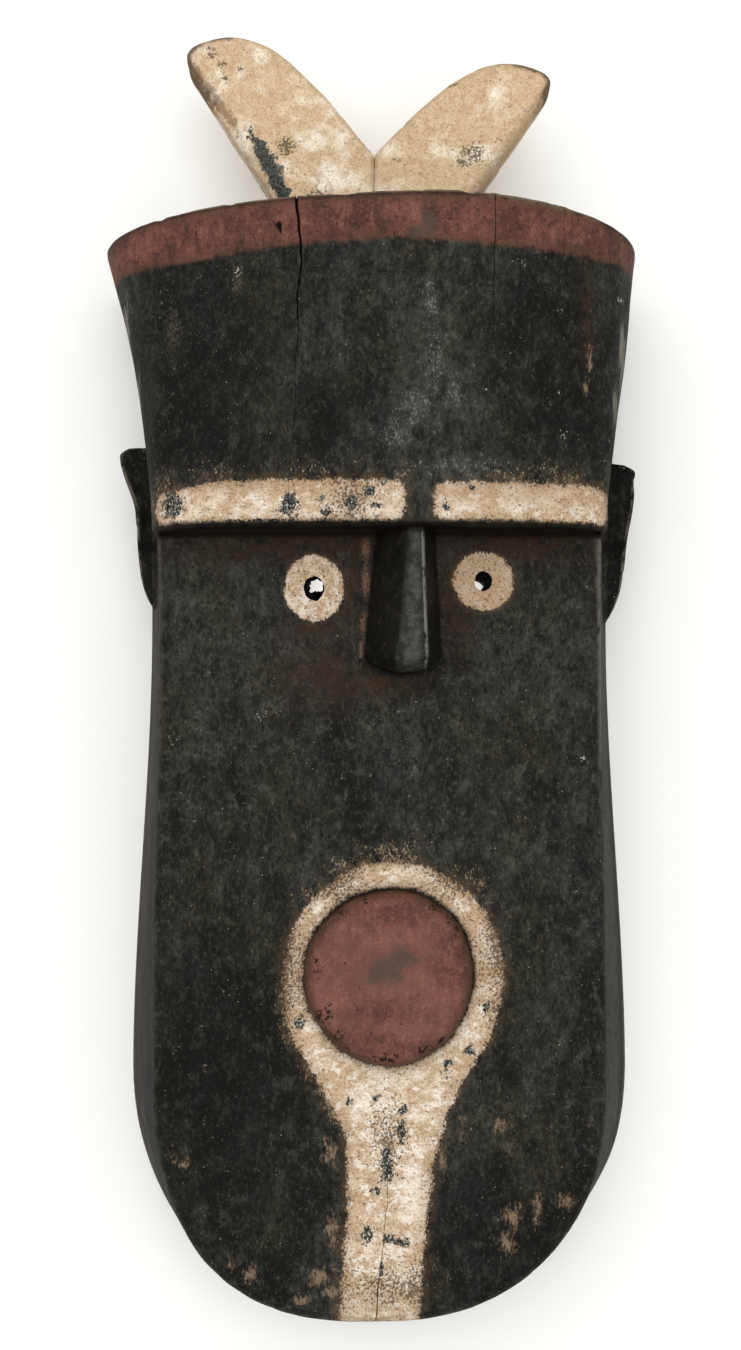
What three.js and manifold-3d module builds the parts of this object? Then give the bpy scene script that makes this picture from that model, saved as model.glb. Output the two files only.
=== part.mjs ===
// A mask carved from one block of wood: a long plank face under a flared, overhanging forehead, with two
// leaf-shaped horns, two ears, a ridge nose, a raised round mouth, two eye holes and a hollow back.
// It lies on the flat rim of its back. +X is the viewer's right, +Y runs up to the horns, +Z comes out of
// the face. Millimetres. The origin is the middle of the box around it, on the plane of the back rim.

import * as THREE from "three";
import { mergeVertices } from "three/addons/utils/BufferGeometryUtils.js";
import Module from "manifold-3d";

// Driving dimensions: the plank face
const chinEndY = -285.2;
const chinStartY = -179; // the sides begin to turn in towards the chin
const chinPower = 2.43; // the chin's outline is a superellipse of this power
const chinLastAngle = 86; // degrees of that superellipse, so that the chin ends in a short flat
const waistY = 5;
const faceTopY = 76; // hidden inside the forehead
const cheekFrontHalfWidth = 97.6;
const waistFrontHalfWidth = 96.5;
const cheekRearHalfWidth = 114.6;
const waistRearHalfWidth = 108.6;
const faceHeightAtBrow = 61;
const faceHeightAtChin = 47;
const faceCrown = 3; // the middle of the face stands this much above its edges
const faceEdgeRound = 4;
const bodyCentreX = 4; // the carver set the face a little off the middle of the forehead's rim
const chinCentreX = 0.3;
const centreShiftStartY = 125; // above this the middle line moves over to the middle of the forehead's rim
const centreShiftPastRim = 8;
const chinShiftLength = 40; // above the chin's start, over which the middle line begins to move over

// The forehead
const browY = 50.5;
const rimY = 188.7;
const rimPeakShare = 0.2; // the rim is highest this far to the right, as a share of the way to its corner
const rimLeftDrop = 6.4; // its left corner lies this much lower than its highest point
const rimRightDrop = 7.7;
const rimDropPower = 1.2;
const browHalfWidth = 98.5;
const rimHalfWidth = 120;
const rimRearHalfWidth = 120;
const flarePower = 1.35;
const browFrontHeight = 85;
const rimFrontHeight = 102;
const browSideHeight = 60; // where the curved front meets the side wall
const rimSideHeight = 46;
const rimApexShift = 12; // the front bulges furthest this much to the right of the middle
const browSectionPower = 3.6; // the front's section is almost flat at the brow and half an ellipse at the rim
const rimSectionPower = 2;
const browEdgeRound = 3;
const browUndercut = 9; // the underside of the brow slopes up by this much on its way to the back
const rimChamfer = 2;

// The nose
const noseTopY = 60;
const noseEndY = -10.2;
const noseEndRound = 7;
const noseEndPower = 2.4; // of the superellipse that rounds the end off
const noseEndWidthShare = 0.85; // the end is this much as wide as the nose above it
const noseEndBow = 6; // the corners of its end lie this much higher than the middle
const noseBowLength = 18; // over which that bow fades out
const noseHeightAtBrow = 17;
const noseHeightAtEnd = 26;
const noseLeftAtBrow = 0;
const noseRightAtBrow = 28.8;
const noseLeftAtEnd = -4.4;
const noseRightAtEnd = 32;
const noseLeftFlankAtBrow = 0.56; // shares of the nose's width
const noseLeftFlankAtEnd = 0.41;
const noseRightFlank = 0.24;
const noseFlankPower = 1.3; // the flanks curve in a little as they rise

// The mouth and the eyes
const mouthCentre = new THREE.Vector2(7.9, -138.7);
const mouthRadius = 36.3;
const mouthRise = 8.5;
const mouthDome = 2;
const mouthBevel = 3.2;
const eyeHoles = [
  { x: -24.4, y: 27.1, halfWidth: 4.4, halfHeight: 5.2 },
  { x: 48.8, y: 30.2, halfWidth: 3.8, halfHeight: 4.4 },
];

// The ears: the bow is how far each stands out of the side wall, and the flare how much further its top does.
// The flare fades out between two shares of the ear's length, counted from its top. The top slopes down
// towards the outside.
const ears = [
  {
    side: -1,
    topY: 94.2,
    topSlope: 0.5,
    bottomY: 22.3,
    bow: 6.1,
    power: 8,
    flare: 6.5,
    flareShares: [0.05, 0.41],
  },
  {
    side: 1,
    topY: 88.1,
    topSlope: 2.4,
    bottomY: 15.8,
    bow: 8.2,
    power: 6,
    flare: 2.6,
    flareShares: [0.2, 0.55],
  },
];
const earRearHeightAtTop = 18;
const earRearHeightAtBottom = 24;
const earFrontHeightAtTop = 44;
const earFrontHeightAtBottom = 35;
const earRoot = 10; // how deep an ear runs into the wall
const earDish = 3.5;
const earCornerShare = 0.05; // the part of its length over which its top corner is rounded off
const earCornerCut = 4.5;
const earLeastReach = 0.2;

// The horns
const hornBaseY = 180; // hidden inside the forehead
const hornNotch = new THREE.Vector2(1.6, 227);
const hornSeamOverlap = 1;
const hornStraightShare = 0.3; // of a horn's rows, those below the notch
const hornShoulderShare = 0.85; // of a horn's rows, those below the shoulder of its outer edge
const hornTipShare = 0.96; // of the curve from the shoulder to the tip, so that the tip ends in a short edge
const hornTipBend = 0.6;
const hornRearHeight = 33;
const hornFrontHeight = 54;
const hornTipThinning = 4;
const hornBevelDepth = 4;
const horns = [
  {
    side: -1,
    tip: [-84.6, 278.3],
    inner: [
      [-25.6, 263.2],
      [-50.1, 300.4],
    ],
    outerBase: [-26, hornBaseY],
    shoulder: [-82, 267],
    outerBevel: 6,
    innerBevel: 2,
  },
  {
    side: 1,
    tip: [82.7, 265.4],
    inner: [
      [33.1, 264.3],
      [57, 283.4],
    ],
    outerBase: [27.5, hornBaseY],
    shoulder: [79.4, 256],
    outerBevel: 3,
    innerBevel: 2,
  },
];

// The hollow back
const rimWidth = 14;
const hollowChinY = -264;
const hollowTopY = 170;
const hollowTopRound = 40; // the length over which the hollow narrows to its top
const faceThickness = 17;
const foreheadThickness = 24;
const hollowSideHeight = 24;
const hollowMouth = -6; // below the back plane, so that the cut is open
const hollowPower = 3;
const hollowTopShare = 0.97; // of its narrowing, so that the hollow's top ends in a short flat
const hollowStepStartY = 40.5; // here the hollow's ceiling starts to rise from the face to the forehead
const hollowStepEndY = 75.5;
const hollowScoopLength = 45; // over which the ceiling rises at the chin
const hollowChinShare = 0.35; // of its full height, where that rise starts

// How finely the surfaces are faceted
const chinRows = 12;
const bodyRows = 9;
const faceColumns = 12;
const foreheadRows = 9;
const foreheadColumns = 30;
const hollowRows = 14;
const hollowChinRows = 7;
const hollowTopRows = 5;
const hollowColumns = 14;
const noseRows = 9;
const noseColumns = 12;
const earRows = 12;
const earColumns = 6;
const hornRows = 22;
const hornColumns = 5;
const roundSegments = 40;
const eyeSegments = 16;

const wasm = await Module();
wasm.setup();

const { lerp, clamp, smoothstep, degToRad } = THREE.MathUtils;

// The quarter of a superellipse: 1 at share 0, falling to 0 at share 1.
function quarter(share, power) {
  return (1 - clamp(share, 0, 1) ** power) ** (1 / power);
}

// How far y has gone from one place to another, from 0 to 1.
function progress(y, from, to) {
  return clamp((y - from) / (to - from), 0, 1);
}

// The plank's outline

function centreX(y) {
  const towardsRim = smoothstep(y, centreShiftStartY, rimY + centreShiftPastRim);
  const towardsChin = smoothstep(-y, -chinStartY + chinShiftLength, -chinEndY);
  return bodyCentreX * (1 - towardsRim) + (chinCentreX - bodyCentreX) * towardsChin;
}

function chinShare(y) {
  return quarter((chinStartY - y) / (chinStartY - chinEndY), chinPower);
}

function rearHalfWidth(y) {
  const body = lerp(cheekRearHalfWidth, waistRearHalfWidth, smoothstep(y, chinStartY, waistY));
  const flare = (rimRearHalfWidth - waistRearHalfWidth) * progress(y, waistY, rimY) ** 2;
  return (body + flare) * chinShare(y);
}

function frontHalfWidth(y) {
  const body = lerp(cheekFrontHalfWidth, waistFrontHalfWidth, smoothstep(y, chinStartY, waistY));
  const flare = (browHalfWidth - waistFrontHalfWidth) * progress(y, waistY, faceTopY) ** 2;
  return (body + flare) * chinShare(y);
}

function faceEdgeHeight(y) {
  return lerp(faceHeightAtChin, faceHeightAtBrow, progress(y, chinEndY, browY));
}

function faceHeight(x, y) {
  const across = (x - centreX(y)) / Math.max(frontHalfWidth(y), 1);
  return faceEdgeHeight(y) + faceCrown * (1 - clamp(across * across, 0, 1));
}

function sideX(side, y, z) {
  const half = lerp(rearHalfWidth(y), frontHalfWidth(y), z / faceEdgeHeight(y));
  return centreX(y) + side * half;
}

// The bodies

// A closed body over a grid of rows and columns: a back sheet at level 0, a front sheet at the last level,
// and walls that join their borders through the levels between. pointAt(row, column, level) gives a point.
function pillow(rows, columns, levels, pointAt) {
  const points = [];
  const numbers = new Map();
  const pointNumber = (row, column, level) => {
    const key = `${row} ${column} ${level}`;
    if (!numbers.has(key)) {
      numbers.set(key, points.length);
      points.push(pointAt(row, column, level));
    }
    return numbers.get(key);
  };
  const triangles = [];
  const addQuad = (a, b, c, d) => triangles.push(a, b, c, a, c, d);

  for (let row = 0; row < rows; row++) {
    for (let column = 0; column < columns; column++) {
      const corners = [
        [row, column],
        [row, column + 1],
        [row + 1, column + 1],
        [row + 1, column],
      ];
      addQuad(...corners.map(([r, c]) => pointNumber(r, c, levels)));
      addQuad(...corners.reverse().map(([r, c]) => pointNumber(r, c, 0)));
    }
  }

  const border = [];
  for (let column = 0; column < columns; column++) border.push([0, column]);
  for (let row = 0; row < rows; row++) border.push([row, columns]);
  for (let column = columns; column > 0; column--) border.push([rows, column]);
  for (let row = rows; row > 0; row--) border.push([row, 0]);
  border.forEach(([row, column], i) => {
    const [nextRow, nextColumn] = border[(i + 1) % border.length];
    for (let level = 0; level < levels; level++) {
      addQuad(
        pointNumber(row, column, level),
        pointNumber(nextRow, nextColumn, level),
        pointNumber(nextRow, nextColumn, level + 1),
        pointNumber(row, column, level + 1),
      );
    }
  });

  const geometry = new THREE.BufferGeometry();
  geometry.setAttribute("position", new THREE.Float32BufferAttribute(points.flat(), 3));
  geometry.setIndex(triangles);
  return geometry;
}

// A three.js geometry as a solid that can be joined and cut.
function solidOf(geometry) {
  const bare = geometry.clone();
  bare.deleteAttribute("normal");
  bare.deleteAttribute("uv");
  const merged = mergeVertices(bare, 1e-3);
  const corners = merged.index.array;
  const kept = [];
  for (let i = 0; i < corners.length; i += 3) {
    const [a, b, c] = corners.slice(i, i + 3);
    if (a !== b && b !== c && a !== c) kept.push(a, b, c);
  }
  const mesh = new wasm.Mesh({
    numProp: 3,
    vertProperties: merged.getAttribute("position").array,
    triVerts: Uint32Array.from(kept),
  });
  return new wasm.Manifold(mesh);
}

function geometryOf(solid) {
  const mesh = solid.getMesh();
  const geometry = new THREE.BufferGeometry();
  geometry.setAttribute("position", new THREE.Float32BufferAttribute(mesh.vertProperties, 3));
  geometry.setIndex(Array.from(mesh.triVerts));
  geometry.computeVertexNormals();
  return geometry;
}

// The rows of the plank from the chin up: close together round the chin, even above it.
function bodyRowsFrom(lowest, highest, evenRows) {
  const rows = [];
  for (let i = chinRows; i > 0; i--) {
    const angle = degToRad((chinLastAngle * i) / chinRows);
    rows.push(lerp(chinStartY, lowest, Math.sin(angle) ** (2 / chinPower)));
  }
  for (let i = 0; i <= evenRows; i++) rows.push(lerp(chinStartY, highest, i / evenRows));
  return rows;
}

// The direction in which the plank's front outline faces at a border point of its grid.
function outlineNormal(side, y) {
  const step = 0.05;
  const slope = (frontHalfWidth(y + step) - frontHalfWidth(y - step)) / (2 * step);
  return new THREE.Vector2(side, -slope).normalize();
}

function plankFace() {
  const rows = bodyRowsFrom(chinEndY, faceTopY, bodyRows);
  const last = rows.length - 1;
  const roundAngles = [0, 45, 90].map(degToRad);
  const pointAt = (row, column, level) => {
    const y = rows[row];
    const share = (2 * column) / faceColumns - 1;
    if (level === 0) return [centreX(y) + share * rearHalfWidth(y), y, 0];

    const angle = roundAngles[level - 1];
    const inset = faceEdgeRound * (1 - Math.cos(angle));
    const drop = faceEdgeRound * (1 - Math.sin(angle));
    const normal = outlineNormal(1, y);
    const sideInset = inset * normal.x;
    const endInset = row === last ? 0 : inset * Math.abs(normal.y);
    const x = centreX(y) + share * (frontHalfWidth(y) - sideInset);
    const height = level === roundAngles.length ? faceHeight(x, y) : faceEdgeHeight(y);
    return [x, y + endInset, height - drop];
  };
  return pillow(last, faceColumns, roundAngles.length, pointAt);
}

// The forehead's cross section at a height y: its half width, where the front meets the side, the front's
// height in the middle and the power of the curve between.
function foreheadSection(y) {
  const up = progress(y, browY, rimY);
  return {
    halfWidth: lerp(browHalfWidth, rimHalfWidth, up ** flarePower),
    sideHeight: lerp(browSideHeight, rimSideHeight, up),
    frontHeight: lerp(browFrontHeight, rimFrontHeight, up ** flarePower),
    power: lerp(browSectionPower, rimSectionPower, Math.sqrt(up)),
    apexShift: rimApexShift * up,
  };
}

// How much lower than its highest point the rim lies, at a share of the way to its left or right corner.
function rimDrop(across) {
  const corner = across < rimPeakShare ? -1 : 1;
  const drop = across < rimPeakShare ? rimLeftDrop : rimRightDrop;
  return drop * progress(across, rimPeakShare, corner) ** rimDropPower;
}

function forehead() {
  const roundRows = [
    { y: browY, inset: browEdgeRound },
    { y: browY + 0.3 * browEdgeRound, inset: 0.3 * browEdgeRound },
  ];
  const evenRows = [];
  for (let i = 0; i <= foreheadRows; i++) {
    evenRows.push({ y: lerp(browY + browEdgeRound, rimY - rimChamfer, i / foreheadRows), inset: 0 });
  }
  const rows = [...roundRows, ...evenRows, { y: rimY, inset: rimChamfer }];
  const pointAt = (row, column, level) => {
    const { y, inset } = rows[row];
    const section = foreheadSection(y);
    const across = (2 * column) / foreheadColumns - 1;
    const drop = rimDrop(across) * progress(y, browY, rimY) ** 2;
    if (level === 0) {
      const undercut = browUndercut * (1 - progress(y, browY, browY + 2 * browUndercut));
      return [centreX(y) + across * rearHalfWidth(y), y + undercut - drop, 0];
    }
    const angle = across * (Math.PI / 2);
    const bulge = Math.cos(angle) ** (2 / section.power);
    const reach = Math.abs(Math.sin(angle)) ** (2 / section.power);
    const spread = Math.sign(across) * reach * (section.halfWidth - inset);
    const x = centreX(y) + spread + (1 - reach) * section.apexShift;
    const rise = section.frontHeight - section.sideHeight - inset;
    return [x, y - drop, section.sideHeight + bulge * rise];
  };
  return pillow(rows.length - 1, foreheadColumns, 1, pointAt);
}

// How far across the nose a column lies: half of the columns are on the left flank, a quarter on the crest
// and a quarter on the right flank.
function noseShare(column, leftFlank) {
  if (column < 0.5) return 2 * column * leftFlank;
  if (column < 0.75) return lerp(leftFlank, 1 - noseRightFlank, 4 * (column - 0.5));
  return lerp(1 - noseRightFlank, 1, 4 * (column - 0.75));
}

function nose() {
  const sunk = 2.5; // how far the nose's foot is buried in the face
  const rows = [];
  for (let i = 0; i < noseRows; i++) {
    rows.push(lerp(noseTopY, noseEndY + noseEndRound, i / (noseRows - 1)));
  }
  [30, 60, 85].forEach((degrees) => {
    rows.push(noseEndY + noseEndRound * (1 - Math.sin(degToRad(degrees))));
  });
  rows.reverse();
  const pointAt = (row, column, level) => {
    const y = rows[row];
    const down = progress(y, browY, noseEndY);
    const left = lerp(noseLeftAtBrow, noseLeftAtEnd, down);
    const right = lerp(noseRightAtBrow, noseRightAtEnd, down);
    const leftFlank = lerp(noseLeftFlankAtBrow, noseLeftFlankAtEnd, down);
    const roundOff = quarter((noseEndY + noseEndRound - y) / noseEndRound, noseEndPower);
    const share = noseShare(column / noseColumns, leftFlank);
    const middle = 0.5 * (left + right);
    const x = middle + (share - 0.5) * (right - left) * lerp(noseEndWidthShare, 1, roundOff);
    const bow = noseEndBow * (2 * share - 1) ** 2 * progress(y, noseEndY + noseBowLength, noseEndY);
    const flank = Math.min(1, share / leftFlank, (1 - share) / noseRightFlank);
    const height = lerp(noseHeightAtBrow, noseHeightAtEnd, down) * roundOff;
    const foot = faceHeight(x, y) - sunk;
    if (level === 0) return [x, y + bow, foot];
    return [x, y + bow, foot + 1 + (sunk - 1 + height) * (1 - (1 - flank) ** noseFlankPower)];
  };
  return pillow(rows.length - 1, noseColumns, 1, pointAt);
}

function mouthDisc() {
  const sunk = 6;
  const profile = [
    [0, -sunk],
    [mouthRadius + 1, -sunk],
    [mouthRadius, 0],
    [mouthRadius - 0.35 * mouthBevel, 0.6 * mouthRise],
    [mouthRadius - mouthBevel, mouthRise],
    [0.75 * mouthRadius, mouthRise + 0.5 * mouthDome],
    [0.4 * mouthRadius, mouthRise + 0.9 * mouthDome],
    [0, mouthRise + mouthDome],
  ].map(([radius, height]) => new THREE.Vector2(radius, height));
  const geometry = new THREE.LatheGeometry(profile, roundSegments);
  geometry.rotateX(Math.PI / 2);
  geometry.translate(mouthCentre.x, mouthCentre.y, faceHeight(mouthCentre.x, mouthCentre.y));
  return geometry;
}

function earReach(ear, down) {
  const flare = ear.flare * (1 - smoothstep(down, ...ear.flareShares));
  const cornerCut = earCornerCut * (1 - Math.min(1, down / earCornerShare)) ** 2;
  return ear.bow * (1 - down ** ear.power) + flare - cornerCut;
}

function earBody(ear) {
  const pointAt = (row, column, level) => {
    const down = 0.5 + 0.5 * Math.cos((Math.PI * row) / earRows);
    const across = ear.side > 0 ? column / earColumns : 1 - column / earColumns;
    const y = lerp(ear.topY - ear.topSlope * across, ear.bottomY, down);
    const rear = lerp(earRearHeightAtTop, earRearHeightAtBottom, down);
    const front = lerp(earFrontHeightAtTop, earFrontHeightAtBottom, down);
    const wall = sideX(ear.side, y, 0.5 * (rear + front));
    const x = wall + ear.side * lerp(-earRoot, Math.max(earReach(ear, down), earLeastReach), across);
    const dish = earDish * Math.sin(Math.PI * across) * Math.sin(Math.PI * Math.sqrt(down));
    return [x, y, level === 0 ? rear : front - dish];
  };
  return pillow(earRows, earColumns, 1, pointAt);
}

// The inner edge of a horn: straight up the seam to the notch, then a curve over to the tip.
function hornInnerEdge(horn, share) {
  const seam = new THREE.Vector2(hornNotch.x - horn.side * hornSeamOverlap, hornBaseY);
  if (share < hornStraightShare) return seam.lerp(hornNotch, share / hornStraightShare);
  const [first, second] = horn.inner.map((p) => new THREE.Vector2(...p));
  const curve = new THREE.CubicBezierCurve(hornNotch, first, second, new THREE.Vector2(...horn.tip));
  return curve.getPoint((share - hornStraightShare) / (1 - hornStraightShare));
}

function hornOuterEdge(horn, share) {
  const base = new THREE.Vector2(...horn.outerBase);
  const shoulder = new THREE.Vector2(...horn.shoulder);
  if (share < hornShoulderShare) return base.lerp(shoulder, share / hornShoulderShare);
  const tip = new THREE.Vector2(...horn.tip);
  const bendY = 0.5 * (horn.shoulder[1] + horn.tip[1]);
  const bend = new THREE.Vector2(horn.tip[0] + horn.side * hornTipBend, bendY);
  const curve = new THREE.QuadraticBezierCurve(shoulder, bend, tip);
  return curve.getPoint((hornTipShare * (share - hornShoulderShare)) / (1 - hornShoulderShare));
}

function hornBody(horn) {
  const pointAt = (row, column, level) => {
    const share = row / hornRows;
    const outer = hornOuterEdge(horn, share);
    const inner = hornInnerEdge(horn, share);
    const across = horn.side < 0 ? column / hornColumns : 1 - column / hornColumns;
    const width = outer.distanceTo(inner);
    const point = outer.clone().lerp(inner, across);
    if (level === 0) return [point.x, point.y, hornRearHeight + hornTipThinning * share];
    const outerBevel = 1 - Math.min(1, (across * width) / horn.outerBevel);
    const innerBevel = 1 - Math.min(1, ((1 - across) * width) / horn.innerBevel);
    const bevel = hornBevelDepth * Math.max(outerBevel, 0.5 * innerBevel);
    return [point.x, point.y, hornFrontHeight - hornTipThinning * share - bevel];
  };
  return pillow(hornRows, hornColumns, 1, pointAt);
}

function hollowBack() {
  const rows = [];
  for (let i = hollowChinRows; i > 0; i--) {
    const angle = degToRad((chinLastAngle * i) / hollowChinRows);
    rows.push(lerp(chinStartY, hollowChinY, Math.sin(angle) ** (2 / chinPower)));
  }
  const topStartY = hollowTopY - hollowTopRound;
  for (let i = 0; i < hollowRows; i++) rows.push(lerp(chinStartY, topStartY, i / hollowRows));
  for (let i = 0; i <= hollowTopRows; i++) {
    rows.push(lerp(topStartY, hollowTopY, Math.sin((Math.PI / 2) * (i / hollowTopRows))));
  }
  const share = (y) => {
    const chinShareHere = quarter((chinStartY - y) / (chinStartY - hollowChinY), chinPower);
    return chinShareHere * quarter(hollowTopShare * progress(y, topStartY, hollowTopY), hollowPower);
  };
  const pointAt = (row, column, level) => {
    const y = rows[row];
    const across = (2 * column) / hollowColumns - 1;
    const mouthHalf = (rearHalfWidth(Math.max(y, chinStartY)) - rimWidth) * share(y);
    if (level === 0) return [centreX(y) + across * mouthHalf, y, hollowMouth];
    if (level === 1) return [centreX(y) + across * mouthHalf, y, 0];
    const sideHalf = (frontHalfWidth(Math.max(y, chinStartY)) - rimWidth) * share(y);
    const inForehead = smoothstep(y, hollowStepStartY, hollowStepEndY);
    const faceCeiling = faceEdgeHeight(y) + 0.5 * faceCrown - faceThickness;
    const foreheadCeiling = foreheadSection(Math.max(y, browY)).frontHeight - foreheadThickness;
    const ceiling = lerp(faceCeiling, foreheadCeiling, inForehead);
    const angle = across * (Math.PI / 2);
    const bulge = Math.cos(angle) ** (2 / hollowPower);
    const reach = Math.sign(across) * Math.abs(Math.sin(angle)) ** (2 / hollowPower);
    const x = centreX(y) + reach * sideHalf;
    const scoop = lerp(hollowChinShare, 1, progress(y, hollowChinY, hollowChinY + hollowScoopLength));
    return [x, y, hollowSideHeight + bulge * scoop * (ceiling - hollowSideHeight)];
  };
  return pillow(rows.length - 1, hollowColumns, 2, pointAt);
}

function eyeHole(eye) {
  const geometry = new THREE.CylinderGeometry(1, 1, 60, eyeSegments);
  geometry.rotateX(Math.PI / 2);
  geometry.scale(eye.halfWidth, eye.halfHeight, 1);
  geometry.translate(eye.x, eye.y, faceHeightAtBrow);
  return geometry;
}

function maskGeometry() {
  const joined = [forehead(), nose(), mouthDisc(), ...ears.map(earBody), ...horns.map(hornBody)];
  const cut = [hollowBack(), ...eyeHoles.map(eyeHole)];
  const whole = joined.reduce((body, piece) => body.add(solidOf(piece)), solidOf(plankFace()));
  const carved = cut.reduce((body, piece) => body.subtract(solidOf(piece)), whole);
  return geometryOf(carved);
}

const charcoalWood = new THREE.MeshStandardMaterial({
  color: new THREE.Color(0.17, 0.165, 0.16),
  roughness: 0.75,
  metalness: 0,
});

const mask = new THREE.Mesh(maskGeometry(), charcoalWood);
mask.name = "toma_mask";

const object = new THREE.Group();
object.add(mask);

export default object;
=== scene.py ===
# A carved and painted wooden mask, lying on the flat rim of its hollow back.
# The solid part is replaced by one finer mesh of the same form, with knife work, chips and drying cracks,
# and painted in layers: bare wood, black, red and cream paint, wear and grime.
# Sizes in this script are millimetres until a mesh is made, and metres after that.

import math

import bpy
import numpy as np
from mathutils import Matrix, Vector, noise


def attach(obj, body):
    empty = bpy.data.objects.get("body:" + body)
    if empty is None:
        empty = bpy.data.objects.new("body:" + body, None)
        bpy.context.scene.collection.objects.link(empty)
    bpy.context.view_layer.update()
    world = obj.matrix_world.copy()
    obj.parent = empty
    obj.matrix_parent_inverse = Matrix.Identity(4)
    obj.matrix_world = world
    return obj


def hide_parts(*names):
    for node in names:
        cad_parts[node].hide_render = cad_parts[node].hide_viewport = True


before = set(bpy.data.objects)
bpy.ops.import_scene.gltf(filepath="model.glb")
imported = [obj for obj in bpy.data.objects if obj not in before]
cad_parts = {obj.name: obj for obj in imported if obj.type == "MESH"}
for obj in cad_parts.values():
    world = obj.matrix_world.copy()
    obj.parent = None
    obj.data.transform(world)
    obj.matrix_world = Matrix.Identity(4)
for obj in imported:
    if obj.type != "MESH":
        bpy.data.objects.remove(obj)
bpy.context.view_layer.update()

# Driving dimensions: the plank face
CHIN_END_Y = -285.2
CHIN_START_Y = -179
CHIN_POWER = 2.43
CHIN_LAST_ANGLE = 86
WAIST_Y = 5
FACE_TOP_Y = 76
CHEEK_FRONT_HALF_WIDTH = 97.6
WAIST_FRONT_HALF_WIDTH = 96.5
CHEEK_REAR_HALF_WIDTH = 114.6
WAIST_REAR_HALF_WIDTH = 108.6
FACE_HEIGHT_AT_BROW = 61
FACE_HEIGHT_AT_CHIN = 47
FACE_CROWN = 3
FACE_EDGE_ROUND = 4
BODY_CENTRE_X = 4
CHIN_CENTRE_X = 0.3

# The forehead
BROW_Y = 50.5
RIM_Y = 188.7
RIM_PEAK_SHARE = 0.2
RIM_LEFT_DROP = 6.4
RIM_RIGHT_DROP = 7.7
RIM_DROP_POWER = 1.2
BROW_HALF_WIDTH = 98.5
RIM_HALF_WIDTH = 120
RIM_REAR_HALF_WIDTH = 120
FLARE_POWER = 1.35
BROW_FRONT_HEIGHT = 85
RIM_FRONT_HEIGHT = 102
BROW_SIDE_HEIGHT = 60
RIM_SIDE_HEIGHT = 46
RIM_APEX_SHIFT = 12
BROW_SECTION_POWER = 3.6
RIM_SECTION_POWER = 2
BROW_EDGE_ROUND = 3
BROW_UNDERCUT = 9
RIM_CHAMFER = 2

# The nose
NOSE_TOP_Y = 60
NOSE_END_Y = -10.2
NOSE_END_ROUND = 7
NOSE_END_BOW = 6
NOSE_BOW_LENGTH = 18
NOSE_HEIGHT_AT_BROW = 17
NOSE_HEIGHT_AT_END = 26
NOSE_LEFT_AT_BROW = 0
NOSE_RIGHT_AT_BROW = 28.8
NOSE_LEFT_AT_END = -4.4
NOSE_RIGHT_AT_END = 32
NOSE_LEFT_FLANK_AT_BROW = 0.56
NOSE_LEFT_FLANK_AT_END = 0.41
NOSE_RIGHT_FLANK = 0.24

# The mouth and the eyes. Each eye hole narrows towards the back, where its opening is shifted.
MOUTH_CENTRE = (7.9, -138.7)
MOUTH_RADIUS = 36.3
MOUTH_RISE = 8.5
MOUTH_DOME = 2
MOUTH_BEVEL = 3.2
EYES = [
    {"x": -24.4, "y": 27.1, "half_width": 4.4, "half_height": 5.2, "back_radius": 3.0,
     "back_shift": (0.6, 4.2), "ring_half_width": 12.8, "ring_half_height": 14.4},
    {"x": 48.8, "y": 30.2, "half_width": 3.8, "half_height": 4.4, "back_radius": 3.0,
     "back_shift": (-2.0, -0.2), "ring_half_width": 13.0, "ring_half_height": 12.8},
]

# The ears
EARS = [
    {"side": -1, "top_y": 94.2, "top_slope": 0.5, "bottom_y": 22.3, "bow": 6.1, "power": 8,
     "flare": 6.5, "flare_start": 0.05, "flare_end": 0.41},
    {"side": 1, "top_y": 88.1, "top_slope": 2.4, "bottom_y": 15.8, "bow": 8.2, "power": 6,
     "flare": 2.6, "flare_start": 0.2, "flare_end": 0.55},
]
EAR_REAR_HEIGHT_AT_TOP = 18
EAR_REAR_HEIGHT_AT_BOTTOM = 24
EAR_FRONT_HEIGHT_AT_TOP = 44
EAR_FRONT_HEIGHT_AT_BOTTOM = 35
EAR_ROOT = 10
EAR_DISH = 3.5
EAR_CORNER_SHARE = 0.05
EAR_CORNER_CUT = 4.5

# The horns
HORN_BASE_Y = 180
HORN_NOTCH = (1.6, 227)
HORN_SEAM_OVERLAP = 1
HORN_STRAIGHT_SHARE = 0.3
HORN_REAR_HEIGHT = 33
HORN_FRONT_HEIGHT = 54
HORN_TIP_THINNING = 4
HORN_BEVEL_DEPTH = 4
HORNS = [
    {"side": -1, "tip": (-84.6, 278.3), "inner": [(-25.6, 263.2), (-50.1, 300.4)],
     "outer_base": (-26, HORN_BASE_Y), "shoulder": (-82, 267), "outer_bevel": 6, "inner_bevel": 2},
    {"side": 1, "tip": (82.7, 265.4), "inner": [(33.1, 264.3), (57, 283.4)],
     "outer_base": (27.5, HORN_BASE_Y), "shoulder": (79.4, 256), "outer_bevel": 3, "inner_bevel": 2},
]

# The hollow back
BACK_RIM_WIDTH = 14
HOLLOW_CHIN_Y = -264
HOLLOW_TOP_Y = 170
HOLLOW_TOP_ROUND = 40
FACE_THICKNESS = 17
FOREHEAD_THICKNESS = 24
HOLLOW_SIDE_HEIGHT = 24
HOLLOW_MOUTH = -6
HOLLOW_POWER = 3

# How fine the mesh is: spacings on the surface
FRONT_SPACING = 1.75
WALL_SPACING = 4.2
NOSE_SPACING = 1.0
HORN_SPACING = 1.9
HOLLOW_SPACING = 5

# Knife work and wear in the surface itself
BROAD_WAVE_DEPTH = 0.55
KNIFE_FACET_DEPTH = 0.22
CHIP_DEPTH = 0.8

METRES = 0.001

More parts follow.
